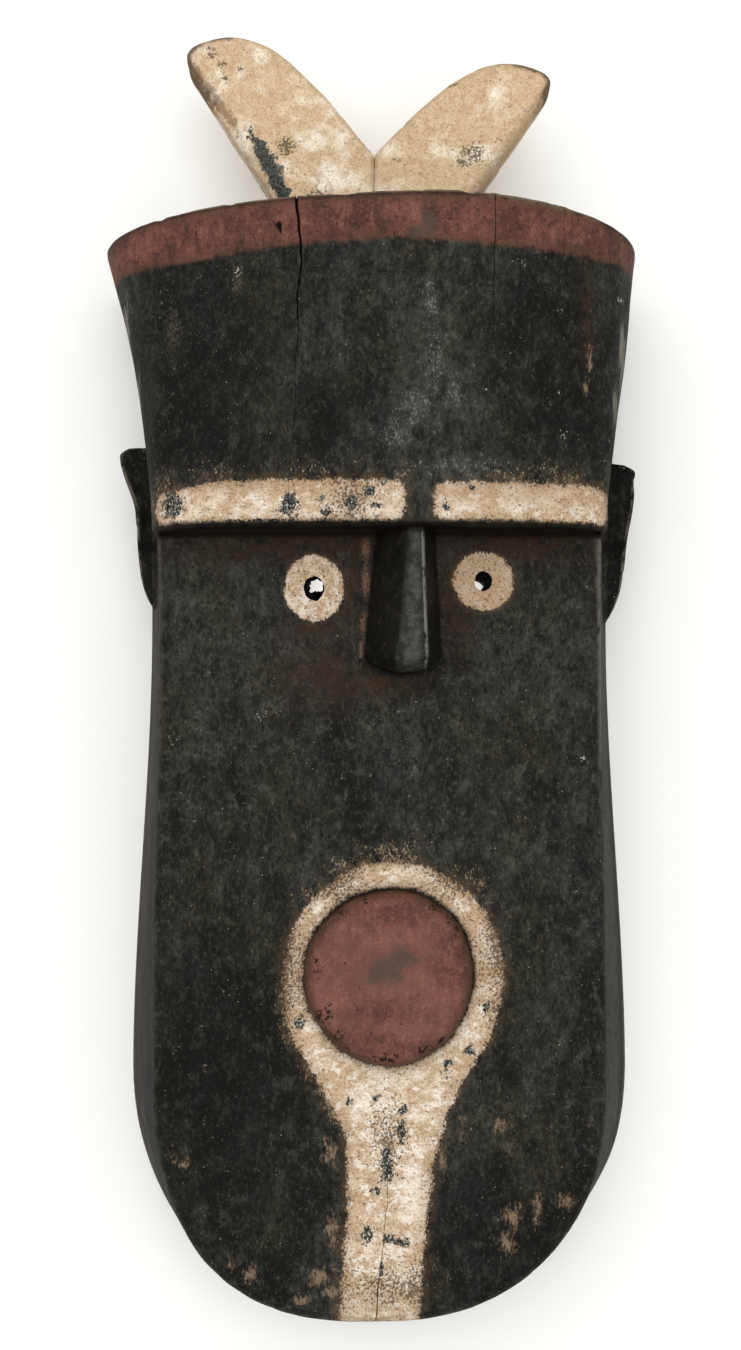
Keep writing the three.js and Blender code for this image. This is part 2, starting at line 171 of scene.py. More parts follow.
# The floor, the lights and the camera, in metres and degrees
FLOOR_HALF_WIDTH = 3.0
AREA_LIGHT_SIZE = 2.0
CAMERA_PLACE = (0, -0.0592, 0.6189)
CAMERA_LEAN = 5
CAMERA_LENS = 34.67
CAMERA_SENSOR_WIDTH = 36


# Small formulas

def lerp(start, end, share):
    return start + (end - start) * share


def progress(value, start, end):
    """How far value has gone from start to end, from 0 to 1."""
    return np.clip((value - start) / (end - start), 0, 1)


def smoothstep(value, start, end):
    share = progress(value, start, end)
    return share * share * (3 - 2 * share)


def quarter(share, power):
    """The quarter of a superellipse: 1 at share 0, falling to 0 at share 1."""
    return (1 - np.clip(share, 0, 1) ** power) ** (1 / power)


def grid(x, y, z):
    """Three arrays that broadcast together, as one array of points."""
    return np.stack(np.broadcast_arrays(x, y, z), axis=-1).astype(float)


# The plank's outline

def centre_x(y):
    towards_rim = smoothstep(y, 125, RIM_Y + 8)
    towards_chin = smoothstep(-y, -CHIN_START_Y + 40, -CHIN_END_Y)
    return BODY_CENTRE_X * (1 - towards_rim) + (CHIN_CENTRE_X - BODY_CENTRE_X) * towards_chin


def chin_share(y):
    return quarter((CHIN_START_Y - y) / (CHIN_START_Y - CHIN_END_Y), CHIN_POWER)


def rear_half_width(y):
    body = lerp(CHEEK_REAR_HALF_WIDTH, WAIST_REAR_HALF_WIDTH, smoothstep(y, CHIN_START_Y, WAIST_Y))
    flare = (RIM_REAR_HALF_WIDTH - WAIST_REAR_HALF_WIDTH) * progress(y, WAIST_Y, RIM_Y) ** 2
    return (body + flare) * chin_share(y)


def front_half_width(y):
    body = lerp(CHEEK_FRONT_HALF_WIDTH, WAIST_FRONT_HALF_WIDTH, smoothstep(y, CHIN_START_Y, WAIST_Y))
    flare = (BROW_HALF_WIDTH - WAIST_FRONT_HALF_WIDTH) * progress(y, WAIST_Y, FACE_TOP_Y) ** 2
    return (body + flare) * chin_share(y)


def face_edge_height(y):
    return lerp(FACE_HEIGHT_AT_CHIN, FACE_HEIGHT_AT_BROW, progress(y, CHIN_END_Y, BROW_Y))


def face_height(x, y):
    across = (x - centre_x(y)) / np.maximum(front_half_width(y), 1)
    return face_edge_height(y) + FACE_CROWN * (1 - np.clip(across * across, 0, 1))


def side_x(side, y, z):
    half = lerp(rear_half_width(y), front_half_width(y), z / face_edge_height(y))
    return centre_x(y) + side * half


def forehead_section(y):
    """Half width, side height, front height, curve power and shift of the highest point, at height y."""
    up = progress(y, BROW_Y, RIM_Y)
    half_width = lerp(BROW_HALF_WIDTH, RIM_HALF_WIDTH, up ** FLARE_POWER)
    side_height = lerp(BROW_SIDE_HEIGHT, RIM_SIDE_HEIGHT, up)
    front_height = lerp(BROW_FRONT_HEIGHT, RIM_FRONT_HEIGHT, up ** FLARE_POWER)
    power = lerp(BROW_SECTION_POWER, RIM_SECTION_POWER, np.sqrt(up))
    return half_width, side_height, front_height, power, RIM_APEX_SHIFT * up


def forehead_front(x, y):
    """The height of the forehead's front above a point."""
    half_width, side_height, front_height, power, apex_shift = forehead_section(y)
    from_centre = x - centre_x(y)
    reach = np.clip(np.abs(from_centre) / half_width, 0, 1)
    for _ in range(4):
        reach = np.clip(np.abs(from_centre - (1 - reach) * apex_shift) / half_width, 0, 1)
    return side_height + (front_height - side_height) * (1 - reach ** power) ** (1 / power)


def rim_drop(across):
    """How much lower than its highest point the rim lies, from -1 at its left corner to 1 at its right."""
    left = RIM_LEFT_DROP * progress(across, RIM_PEAK_SHARE, -1) ** RIM_DROP_POWER
    return left + RIM_RIGHT_DROP * progress(across, RIM_PEAK_SHARE, 1) ** RIM_DROP_POWER


def rim_y(x):
    """Where the flat end of the forehead lies above a point."""
    return RIM_Y - rim_drop(np.arcsin(np.clip(x / RIM_HALF_WIDTH, -1, 1)) / (math.pi / 2))


# Noise and knife work

def lumps(points, size, seed):
    """Smooth noise between about -1 and 1 whose lumps have the given size along each axis."""
    places = points / np.array(size) + 17.3 * seed
    return np.array([noise.noise(place) for place in places.tolist()])


def normals_of(points, faces):
    """Unit normals at the points of a mesh of triangles or quads."""
    corners = points[faces]
    across = np.cross(corners[:, 2] - corners[:, 0], corners[:, -1] - corners[:, 1])
    total = np.zeros_like(points)
    for column in range(faces.shape[1]):
        np.add.at(total, faces[:, column], across)
    return total / np.maximum(np.linalg.norm(total, axis=1, keepdims=True), 1e-9)


def carved(points, faces, seed, wave_depth=BROAD_WAVE_DEPTH, facet_depth=KNIFE_FACET_DEPTH):
    """The same points with the unevenness of hand work. The flat back at z = 0 stays flat."""
    wave = wave_depth * lumps(points, (46, 60, 46), seed)
    facets = facet_depth * lumps(points, (7, 22, 7), seed + 1)
    above_back = progress(points[:, 2], 0, 4)
    return points + normals_of(points, faces) * ((wave + facets) * above_back)[:, None]


# Closed bodies from grids of points

def border(sheet):
    """The points round the edge of a grid, in order."""
    return np.concatenate([sheet[0, :-1], sheet[:-1, -1], sheet[-1, :0:-1], sheet[:0:-1, 0]])


def pillow(back, front, walls):
    """Points and quads of a closed body: back and front sheets on one grid, and wall loops between."""
    rows, columns = front.shape[:2]
    count = rows * columns
    front_numbers = np.arange(count).reshape(rows, columns)
    back_numbers = front_numbers + count
    loop_length = len(border(front))
    loops = [border(back_numbers[..., None])[:, 0]]
    for i in range(len(walls)):
        loops.append(2 * count + i * loop_length + np.arange(loop_length))
    loops.append(border(front_numbers[..., None])[:, 0])

    def sheet_quads(numbers):
        corners = [numbers[:-1, :-1], numbers[:-1, 1:], numbers[1:, 1:], numbers[1:, :-1]]
        return np.stack(corners, axis=-1).reshape(-1, 4)

    quads = [sheet_quads(front_numbers), sheet_quads(back_numbers)[:, ::-1]]
    for lower, upper in zip(loops[:-1], loops[1:]):
        quads.append(np.stack([lower, np.roll(lower, -1), np.roll(upper, -1), upper], axis=-1))
    points = np.concatenate([front.reshape(-1, 3), back.reshape(-1, 3), *walls])
    return points, np.concatenate(quads)


def straight_walls(back, front):
    """Wall loops at even steps on straight lines from the back's border to the front's."""
    start = border(back)
    end = border(front)
    steps = max(2, round(np.linalg.norm(end - start, axis=1).max() / WALL_SPACING))
    return [lerp(start, end, step / steps) for step in range(1, steps)]


def block(back, front):
    return pillow(back, front, straight_walls(back, front))


def add_object(name, data):
    made = bpy.data.objects.new(name, data)
    bpy.context.scene.collection.objects.link(made)
    return made


def new_object(name, points, faces):
    mesh = bpy.data.meshes.new(name)
    mesh.from_pydata((points * METRES).tolist(), [], faces)
    mesh.update()
    return add_object(name, mesh)


def combine(body, other, operation):
    """Joins other to body or cuts it from body, and takes other away."""
    modifier = body.modifiers.new("combine", "BOOLEAN")
    modifier.operation = operation
    modifier.solver = "MANIFOLD"
    modifier.object = other
    depsgraph = bpy.context.evaluated_depsgraph_get()
    result = bpy.data.meshes.new_from_object(body.evaluated_get(depsgraph))
    body.modifiers.clear()
    spent = [body.data, other.data]
    body.data = result
    bpy.data.objects.remove(other)
    for mesh in spent:
        bpy.data.meshes.remove(mesh)


# The plank face

def chin_rows(lowest_y, count):
    """Rows from the bottom of the chin up to where it starts, close together round its end."""
    angles = np.radians(CHIN_LAST_ANGLE) * np.arange(count, 0, -1) / count
    return lerp(CHIN_START_Y, lowest_y, np.sin(angles) ** (2 / CHIN_POWER))


def even_rows(start, end, spacing):
    return np.linspace(start, end, round(abs(end - start) / spacing) + 1)


def nose_foot(x, y):
    """The facet that the knife left along the foot of the nose, in millimetres above the face."""
    left_edge = lerp(NOSE_LEFT_AT_BROW, NOSE_LEFT_AT_END, progress(y, BROW_Y, NOSE_END_Y)) - 1.6
    along = smoothstep(y, NOSE_END_Y - 6, NOSE_END_Y + 8)
    return 1.2 * along * smoothstep(x, left_edge - 1.2, left_edge + 1.4) * (x < NOSE_RIGHT_AT_BROW - 8)


def plank_face():
    y = np.concatenate([chin_rows(CHIN_END_Y, 76), even_rows(CHIN_START_Y, FACE_TOP_Y, FRONT_SPACING)])
    y = y[:, None]
    share = np.linspace(-1, 1, round(2 * CHEEK_FRONT_HALF_WIDTH / FRONT_SPACING) + 1)[None, :]
    # Above the brow the plank runs a little narrower, so that it ends inside the forehead.
    tuck = 5 * progress(y, BROW_Y + 4, BROW_Y + 10)
    step = 0.05
    slope = (front_half_width(y + step) - front_half_width(y - step)) / (2 * step)
    normal_length = np.sqrt(1 + slope * slope)

    def sheet(angle):
        inset = FACE_EDGE_ROUND * (1 - math.cos(angle))
        drop = FACE_EDGE_ROUND * (1 - math.sin(angle))
        end_inset = np.where(y == FACE_TOP_Y, 0, inset * np.abs(slope) / normal_length)
        x = centre_x(y) + share * (front_half_width(y) - inset / normal_length - tuck)
        return x, y + end_inset, drop

    back = grid(centre_x(y) + share * (rear_half_width(y) - tuck), y, 0)
    x, rounded_y, _ = sheet(math.pi / 2)
    front = grid(x, rounded_y, face_height(x, y) + nose_foot(x, y))
    round_loops = []
    for angle in np.radians([0, 18, 36, 54, 72]):
        x, rounded_y, drop = sheet(angle)
        round_loops.append(border(grid(x, rounded_y, face_edge_height(y) - drop)))
    foot_of_round = round_loops[0]
    steps = round(FACE_HEIGHT_AT_BROW / WALL_SPACING)
    walls = [lerp(border(back), foot_of_round, level / steps) for level in range(1, steps)]
    return pillow(back, front, walls + round_loops)


# The forehead

def forehead_row(y, inset, columns):
    """One cross section of the forehead's front, as points at even steps along its curve.
    Also how far across each point is, from -1 to 1, counted by the curve's angle."""
    half_width, side_height, front_height, power, apex_shift = forehead_section(y)
    even = np.linspace(-1, 1, 2401)
    across = np.sign(even) * np.abs(even) ** (power / 2)
    angle = across * (math.pi / 2)
    bulge = np.cos(angle) ** (2 / power)
    reach = np.abs(np.sin(angle)) ** (2 / power)
    x = centre_x(y) + np.sign(across) * reach * (half_width - inset) + (1 - reach) * apex_shift
    z = side_height + bulge * (front_height - side_height - inset)
    length = np.concatenate([[0], np.cumsum(np.hypot(np.diff(x), np.diff(z)))])
    wanted = np.linspace(0, length[-1], columns + 1)
    return [np.interp(wanted, length, values) for values in (x, z, across)]


def forehead():
    curve = np.linspace(0, 1, 5)
    round_rows = [(BROW_Y + BROW_EDGE_ROUND * (1 - math.cos(a)), BROW_EDGE_ROUND * (1 - math.sin(a)))
                  for a in curve[:-1] * math.pi / 2]
    plain_rows = [(y, 0) for y in even_rows(BROW_Y + BROW_EDGE_ROUND, RIM_Y - RIM_CHAMFER, FRONT_SPACING)]
    chamfer_rows = [(RIM_Y - 0.5 * RIM_CHAMFER, 0.35 * RIM_CHAMFER), (RIM_Y, RIM_CHAMFER)]
    columns = round(2.45 * RIM_HALF_WIDTH / FRONT_SPACING)
    front = []
    back = []
    for y, inset in round_rows + plain_rows + chamfer_rows:
        x, z, across = forehead_row(y, inset, columns)
        drop = rim_drop(across) * progress(y, BROW_Y, RIM_Y) ** 2
        undercut = BROW_UNDERCUT * (1 - progress(y, BROW_Y, BROW_Y + 2 * BROW_UNDERCUT))
        front.append(grid(x, y - drop, z))
        back.append(grid(centre_x(y) + across * rear_half_width(y), y + undercut - drop, 0))
    front = np.array(front)
    back = np.array(back)
    return block(back, front)


# The nose

def nose_sides(y):
    """Where the nose's left and right foot lie, and what share of its width the left flank takes."""
    down = progress(y, BROW_Y, NOSE_END_Y)
    left = lerp(NOSE_LEFT_AT_BROW, NOSE_LEFT_AT_END, down)
    right = lerp(NOSE_RIGHT_AT_BROW, NOSE_RIGHT_AT_END, down)
    return left, right, lerp(NOSE_LEFT_FLANK_AT_BROW, NOSE_LEFT_FLANK_AT_END, down)


def nose():
    sunk = 2.5
    end_angles = np.radians(np.linspace(86, 6, 12))
    end_rows = NOSE_END_Y + NOSE_END_ROUND * (1 - np.sin(end_angles))
    y = np.concatenate([end_rows, even_rows(NOSE_END_Y + NOSE_END_ROUND, NOSE_TOP_Y, NOSE_SPACING)])[:, None]
    left, right, left_flank = nose_sides(y)
    # Half of the columns lie on the left flank, a quarter on the crest and a quarter on the right flank.
    column = np.linspace(0, 1, 49)[None, :]
    on_crest = lerp(left_flank, 1 - NOSE_RIGHT_FLANK, progress(column, 0.5, 0.75))
    share = on_crest - left_flank * (1 - progress(column, 0, 0.5))
    share = share + NOSE_RIGHT_FLANK * progress(column, 0.75, 1)
    round_off = quarter((NOSE_END_Y + NOSE_END_ROUND - y) / NOSE_END_ROUND, 2.4)
    x = 0.5 * (left + right) + (share - 0.5) * (right - left) * lerp(0.85, 1, round_off)
    bow = NOSE_END_BOW * (2 * share - 1) ** 2 * progress(y, NOSE_END_Y + NOSE_BOW_LENGTH, NOSE_END_Y)
    flank = np.minimum(1, np.minimum(share / left_flank, (1 - share) / NOSE_RIGHT_FLANK))
    height = lerp(NOSE_HEIGHT_AT_BROW, NOSE_HEIGHT_AT_END, progress(y, BROW_Y, NOSE_END_Y)) * round_off
    foot = face_height(x, y) - sunk
    rise = (sunk - 1 + height) * (1 - (1 - flank) ** 1.3)
    back = grid(x, y + bow, foot)
    front = grid(x, y + bow, foot + 1 + rise)
    return pillow(back, front, [])


# The mouth disc

def mouth_uneven(angle):
    """The disc isn't quite round: a little taller than wide, and fuller at its upper right and its foot."""
    return (1.01 + 0.018 * np.cos(2 * (angle - 1.4)) + 0.012 * np.cos(3 * (angle - 0.8))
            + 0.005 * np.sin(9 * angle + 2))


def mouth_disc():
    """A flat grid bent into a round, slightly domed disc with a bevelled, uneven edge."""
    sunk = 6
    profile_radius = [0, 0.4 * MOUTH_RADIUS, 0.75 * MOUTH_RADIUS, MOUTH_RADIUS - MOUTH_BEVEL,
                      MOUTH_RADIUS - 0.35 * MOUTH_BEVEL, MOUTH_RADIUS, MOUTH_RADIUS + 1]
    profile_height = [MOUTH_RISE + MOUTH_DOME, MOUTH_RISE + 0.9 * MOUTH_DOME, MOUTH_RISE + 0.5 * MOUTH_DOME,
                      MOUTH_RISE, 0.6 * MOUTH_RISE, 0, -sunk]
    even = np.linspace(-1, 1, 61)
    u, v = np.meshgrid(even, even)
    # A square grid made round: its rings keep their distance from the edge.
    ring = np.maximum(np.abs(u), np.abs(v))
    length = np.maximum(np.hypot(u, v), 1e-9)
    radius = ring * MOUTH_RADIUS
    uneven = mouth_uneven(np.arctan2(v, u))
    x = MOUTH_CENTRE[0] + radius * uneven * u / length
    y = MOUTH_CENTRE[1] + radius * uneven * v / length
    base = face_height(*MOUTH_CENTRE)
    front = grid(x, y, base + np.interp(radius, profile_radius, profile_height))
    wider = (MOUTH_RADIUS + 1) / MOUTH_RADIUS
    back_x = MOUTH_CENTRE[0] + (x - MOUTH_CENTRE[0]) * wider
    back_y = MOUTH_CENTRE[1] + (y - MOUTH_CENTRE[1]) * wider
    back = grid(back_x, back_y, base - sunk)
    return pillow(back, front, [lerp(border(back), border(front), 0.5)])


# The ears

def ear_reach(ear, down):
    flare = ear["flare"] * (1 - smoothstep(down, ear["flare_start"], ear["flare_end"]))
    corner_cut = EAR_CORNER_CUT * (1 - np.minimum(1, down / EAR_CORNER_SHARE)) ** 2
    return ear["bow"] * (1 - down ** ear["power"]) + flare - corner_cut


def ear_body(ear):
    down = 0.5 + 0.5 * np.cos(math.pi * np.linspace(0, 1, 49))[:, None]
    column = np.linspace(0, 1, 15)[None, :]
    across = column if ear["side"] > 0 else 1 - column
    y = lerp(ear["top_y"] - ear["top_slope"] * across, ear["bottom_y"], down)
    rear = lerp(EAR_REAR_HEIGHT_AT_TOP, EAR_REAR_HEIGHT_AT_BOTTOM, down)
    front_height = lerp(EAR_FRONT_HEIGHT_AT_TOP, EAR_FRONT_HEIGHT_AT_BOTTOM, down)
    wall = side_x(ear["side"], y, 0.5 * (rear + front_height))
    x = wall + ear["side"] * lerp(-EAR_ROOT, np.maximum(ear_reach(ear, down), 0.2), across)
    dish = EAR_DISH * np.sin(math.pi * across) * np.sin(math.pi * np.sqrt(down))
    back = grid(x, y, rear)
    front = grid(x, y, front_height - dish)
    return block(back, front)


# The horns

def curve_point(controls, share):
    """A point of a Bezier curve of any order."""
    order = len(controls) - 1
    weights = [math.comb(order, i) * share ** i * (1 - share) ** (order - i) for i in range(order + 1)]
    return sum(weight * np.array(control, float) for weight, control in zip(weights, controls))


def horn_inner_edge(horn, share):
    """Straight up the seam to the notch, then a curve over to the tip."""
    seam_foot = (HORN_NOTCH[0] - horn["side"] * HORN_SEAM_OVERLAP, HORN_BASE_Y)
    if share < HORN_STRAIGHT_SHARE:
        return curve_point([seam_foot, HORN_NOTCH], share / HORN_STRAIGHT_SHARE)
    controls = [HORN_NOTCH, *horn["inner"], horn["tip"]]
    return curve_point(controls, (share - HORN_STRAIGHT_SHARE) / (1 - HORN_STRAIGHT_SHARE))


def horn_outer_edge(horn, share):
    shoulder_share = 0.85
    tip_x, tip_y = horn["tip"]
    if share < shoulder_share:
        return curve_point([horn["outer_base"], horn["shoulder"]], share / shoulder_share)
    bend = (tip_x + horn["side"] * 0.6, lerp(horn["shoulder"][1], tip_y, 0.5))
    controls = [horn["shoulder"], bend, horn["tip"]]
    return curve_point(controls, 0.96 * (share - shoulder_share) / (1 - shoulder_share))


def horn_body(horn):
    shares = np.linspace(0, 1, 81)
    outer = np.array([horn_outer_edge(horn, share) for share in shares])[:, None, :]
    inner = np.array([horn_inner_edge(horn, share) for share in shares])[:, None, :]
    column = np.linspace(0, 1, round(48 / HORN_SPACING) + 1)[None, :]
    across = column if horn["side"] < 0 else 1 - column
    width = np.linalg.norm(outer - inner, axis=2)
    point = outer + (inner - outer) * across[..., None]
    thinning = HORN_TIP_THINNING * shares[:, None]
    outer_bevel = 1 - np.minimum(1, across * width / horn["outer_bevel"])
    inner_bevel = 1 - np.minimum(1, (1 - across) * width / horn["inner_bevel"])
    bevel = HORN_BEVEL_DEPTH * np.maximum(outer_bevel, 0.5 * inner_bevel)
    back = grid(point[..., 0], point[..., 1], HORN_REAR_HEIGHT + thinning)
    front = grid(point[..., 0], point[..., 1], HORN_FRONT_HEIGHT - thinning - bevel)
    return block(back, front)


# The hollow back and the eye holes

def hollow_back():
    top_start_y = HOLLOW_TOP_Y - HOLLOW_TOP_ROUND
    top_rows = lerp(top_start_y, HOLLOW_TOP_Y, np.sin(np.linspace(0, math.pi / 2, 12)))
    y = np.concatenate([
        chin_rows(HOLLOW_CHIN_Y, 20),
        even_rows(CHIN_START_Y, top_start_y, HOLLOW_SPACING)[:-1],
        top_rows,
    ])[:, None]
    across = np.linspace(-1, 1, 49)[None, :]
    share = quarter((CHIN_START_Y - y) / (CHIN_START_Y - HOLLOW_CHIN_Y), CHIN_POWER)
    share = share * quarter(0.97 * progress(y, top_start_y, HOLLOW_TOP_Y), 3)
    width_y = np.maximum(y, CHIN_START_Y)
    mouth_half = (rear_half_width(width_y) - BACK_RIM_WIDTH) * share
    side_half = (front_half_width(width_y) - BACK_RIM_WIDTH) * share
    face_ceiling = face_edge_height(y) + 0.5 * FACE_CROWN - FACE_THICKNESS
    forehead_ceiling = forehead_section(np.maximum(y, BROW_Y))[2] - FOREHEAD_THICKNESS
    ceiling = lerp(face_ceiling, forehead_ceiling, smoothstep(y, BROW_Y - 10, BROW_Y + 25))
    angle = across * (math.pi / 2)
    bulge = np.cos(angle) ** (2 / HOLLOW_POWER)
    reach = np.sign(across) * np.abs(np.sin(angle)) ** (2 / HOLLOW_POWER)
    scoop = np.minimum(1, 0.35 + 0.65 * progress(y, HOLLOW_CHIN_Y, HOLLOW_CHIN_Y + 45))
    height = HOLLOW_SIDE_HEIGHT + bulge * scoop * (ceiling - HOLLOW_SIDE_HEIGHT)
    mouth = grid(centre_x(y) + across * mouth_half, y, HOLLOW_MOUTH)
    at_back = grid(centre_x(y) + across * mouth_half, y, 0)
    top = grid(centre_x(y) + reach * side_half, y, height)
    walls = [border(at_back)] + straight_walls(at_back, top)
    return pillow(mouth, top, walls)


def eye_hole(eye, seed):
    """A ragged tube that narrows towards the back."""
    angles = np.linspace(0, 2 * math.pi, 28, endpoint=False)
    top = FACE_HEIGHT_AT_BROW + 8
    back = FACE_HEIGHT_AT_BROW - 22
    points = []
    heights = np.linspace(back, top, 24)
    for height in heights:
        deep = progress(height, FACE_HEIGHT_AT_BROW, back + 5)
        half_width = lerp(eye["half_width"], eye["back_radius"], deep)
        half_height = lerp(eye["half_height"], eye["back_radius"], deep)
        roughness = lerp(0.1, 0.75, deep)
        ragged = [1 + roughness * noise.noise((2.2 * math.cos(a), 2.2 * math.sin(a), seed + 0.11 * height))
                  for a in angles]
        x = eye["x"] + deep * eye["back_shift"][0] + half_width * np.cos(angles) * ragged
        y = eye["y"] + deep * eye["back_shift"][1] + half_height * np.sin(angles) * ragged
        points.append(grid(x, y, height))
    count = len(angles)
    faces = []
    for ring in range(len(heights) - 1):
        for i in range(count):
            j = (i + 1) % count
            start = ring * count
            faces.append([start + i, start + j, start + count + j, start + count + i])
    bottom_cap = list(range(count))[::-1]
    top_cap = [count * (len(heights) - 1) + i for i in range(count)]
    return new_object("eye_hole", np.concatenate(points), faces + [bottom_cap, top_cap])


# Drying cracks: each runs along a path of (x, y, width)

FOREHEAD_CRACKS = [
    [(-30.6, 193, 2.0), (-30.8, 184, 1.5), (-29.9, 175, 1.2), (-28.9, 164, 1.0), (-28.6, 157, 0.7),
     (-30.7, 146, 0.6), (-30.1, 133, 0.4), (-31.3, 121, 0.25), (-31.4, 94, 0.2), (-33.6, 77, 0.15),
     (-34, 52, 0.1)],
    [(51.4, 193, 0.4), (52.2, 180, 0.35), (51.4, 164, 0.3), (51.3, 148, 0.25), (51.0, 118, 0.1)],
    [(81.8, 190, 0.2), (81.9, 176, 0.15), (81.7, 161, 0.1)],
]
FACE_CRACKS = [
    [(7.4, -208, 0.1), (7.1, -220, 0.2), (7.0, -235, 0.25), (4.9, -255, 0.3), (3.2, -271, 0.4),
     (2.0, -282, 0.7), (1.6, -288, 2.6)],
]
HORN_CRACKS = [
    [(1.7, 229, 0.6), (2.0, 222, 0.35), (1.4, 212, 0.25), (0.9, 198, 0.2), (0.6, 188, 0.2)],
]


def crack_path(corners):
    """The corners joined by points every few millimetres, wandering a little as a split does."""
    corners = np.array(corners)
    along = np.concatenate([[0], np.cumsum(np.linalg.norm(np.diff(corners[:, :2], axis=0), axis=1))])
    wanted = np.linspace(0, along[-1], max(3, round(along[-1] / 2.5)) + 1)
    x, y, width = [np.interp(wanted, along, corners[:, i]) for i in range(3)]
    wander = 0.7 * lumps(grid(x, y, 0), (60, 7, 60), 31)
    return x + wander, y, width


def crack_cutter(corners, surface):
    """A thin wedge with its edge down, along a crack, to be cut from the body."""
    clear = 2.5
    depth = 4.5
    x, y, width = crack_path(corners)
    height = surface(x, y)
    half = 0.5 * width * (depth + clear) / depth
    points = np.stack([grid(x - half, y, height + clear), grid(x + half, y, height + clear),
                       grid(x, y, height - depth)], axis=1).reshape(-1, 3)
    faces = []
    last = 3 * (len(x) - 1)
    for here in range(0, last, 3):
        there = here + 3
        for i, j in ((0, 1), (1, 2), (2, 0)):
            faces += [[here + i, here + j, there + j], [here + i, there + j, there + i]]
    faces += [[0, 2, 1], [last, last + 1, last + 2]]
    return points, np.array(faces)


# The whole carving

def outward(points, faces):
    """The faces, turned round if the body is inside out."""
    corners = points[faces[:, :3]]
    volume = np.einsum("ij,ij->i", corners[:, 0], np.cross(corners[:, 1], corners[:, 2])).sum()
    return faces if volume > 0 else faces[:, ::-1]


def carved_object(name, body, seed, **depths):
    points, faces = body
    return new_object(name, carved(points, faces, seed, **depths), faces.tolist())


def carve_mask():
    mask = carved_object("carved_mask", plank_face(), 1)
    joined = [
        carved_object("forehead", forehead(), 1),
        carved_object("nose", nose(), 4, wave_depth=0.25, facet_depth=0.2),
        carved_object("mouth", mouth_disc(), 6, wave_depth=0.5, facet_depth=0.15),
    ]
    joined += [carved_object("ear", ear_body(ear), 8, wave_depth=0.4, facet_depth=0.3) for ear in EARS]
    joined += [carved_object("horn", horn_body(horn), 11, facet_depth=0.35) for horn in HORNS]
    for piece in joined:
        combine(mask, piece, "UNION")
    combine(mask, carved_object("hollow", hollow_back(), 14, wave_depth=0.8, facet_depth=1.1), "DIFFERENCE")
    for seed, eye in enumerate(EYES):
        combine(mask, eye_hole(eye, 3.7 * seed), "DIFFERENCE")
    cutters = [crack_cutter(crack, forehead_front) for crack in FOREHEAD_CRACKS]
    cutters += [crack_cutter(crack, face_height) for crack in FACE_CRACKS]
    cutters += [crack_cutter(crack, lambda x, y: 0 * x + HORN_FRONT_HEIGHT - 2) for crack in HORN_CRACKS]
    for points, faces in cutters:
        combine(mask, new_object("crack", points, outward(points, faces).tolist()), "DIFFERENCE")
    return mask


def read_array(items, name, width, kind=float):
    values = np.zeros(width * len(items), kind)
    items.foreach_get(name, values)
    return values.reshape(-1, width)


def mesh_arrays(mesh):
    """A mesh's points in millimetres, its edges and its normals."""
    points = read_array(mesh.vertices, "co", 3) / METRES
    edges = read_array(mesh.edges, "vertices", 2, np.int32)
    return points, edges, read_array(mesh.vertex_normals, "vector", 3)


def standing_out(points, edges, normals, rounds):
    """How far each point stands out of its surroundings, in millimetres. In a groove it is below 0."""
    count = np.bincount(edges.ravel(), minlength=len(points))[:, None]
    smooth = points.copy()
    for _ in range(rounds):
        total = np.zeros_like(points)
        for axis in range(3):
            total[:, axis] = np.bincount(edges[:, 0], smooth[edges[:, 1], axis], len(points))
            total[:, axis] += np.bincount(edges[:, 1], smooth[edges[:, 0], axis], len(points))
        smooth = 0.5 * smooth + 0.5 * total / np.maximum(count, 1)
    return np.einsum("ij,ij->i", points - smooth, normals)


def crack_nearness(x, y, cracks):
    """1 on a wide crack and less on a fine one, falling to 0 within two millimetres of it."""
    nearness = np.zeros(len(x))
    for corners in cracks:
        path_x, path_y, width = crack_path(corners)
        path = list(zip(path_x, path_y))
        for start, end, start_width in zip(path[:-1], path[1:], width):
            _, away = from_segment(x, y, start, end)
            strength = 0.8 + 0.25 * min(start_width, 0.8)
            nearness = np.maximum(nearness, strength * (1 - progress(away, 0, 2)))
    return nearness


def near_cracks(points):
    x, y, z = points.T
    near = np.where(y > BROW_Y, crack_nearness(x, y, FOREHEAD_CRACKS), crack_nearness(x, y, FACE_CRACKS))
    near = np.where(y > rim_y(x) + 0.5, crack_nearness(x, y, HORN_CRACKS), near)
    return near * (z > FACE_HEIGHT_AT_CHIN - 8)


def chip_edges(mesh):
    """Knocks small chips out of the sharp edges and rounds them a little."""
    points, edges, normals = mesh_arrays(mesh)
    sharp = progress(standing_out(points, edges, normals, 6), 0.15, 0.7)
    sharp = sharp * (near_cracks(points) == 0)
    chips = smoothstep(lumps(points, (6, 6, 6), 21), 0.25, 0.65) * CHIP_DEPTH
    worn = 0.2 + 0.2 * lumps(points, (14, 14, 14), 22)
    above_back = progress(points[:, 2], 0, 3)
    points = points - normals * (sharp * (chips + worn) * above_back)[:, None]
    mesh.vertices.foreach_set("co", (points * METRES).ravel())
    mesh.update()


# What is painted where: signed distances in millimetres, above 0 inside the painted area

LEFT_BROW = {"left": -91.4, "right": 14.4, "bottom": 52.4, "top": 69.2}
RIGHT_BROW = {"left": 26.5, "right": 101.8, "bottom": 52.4, "top": 68.2}
RED_BAND_EDGE = [(-109, 164.3), (-77, 163), (-33, 166.2), (10.5, 168.2), (51, 166.5), (83, 166), (115, 167.5)]
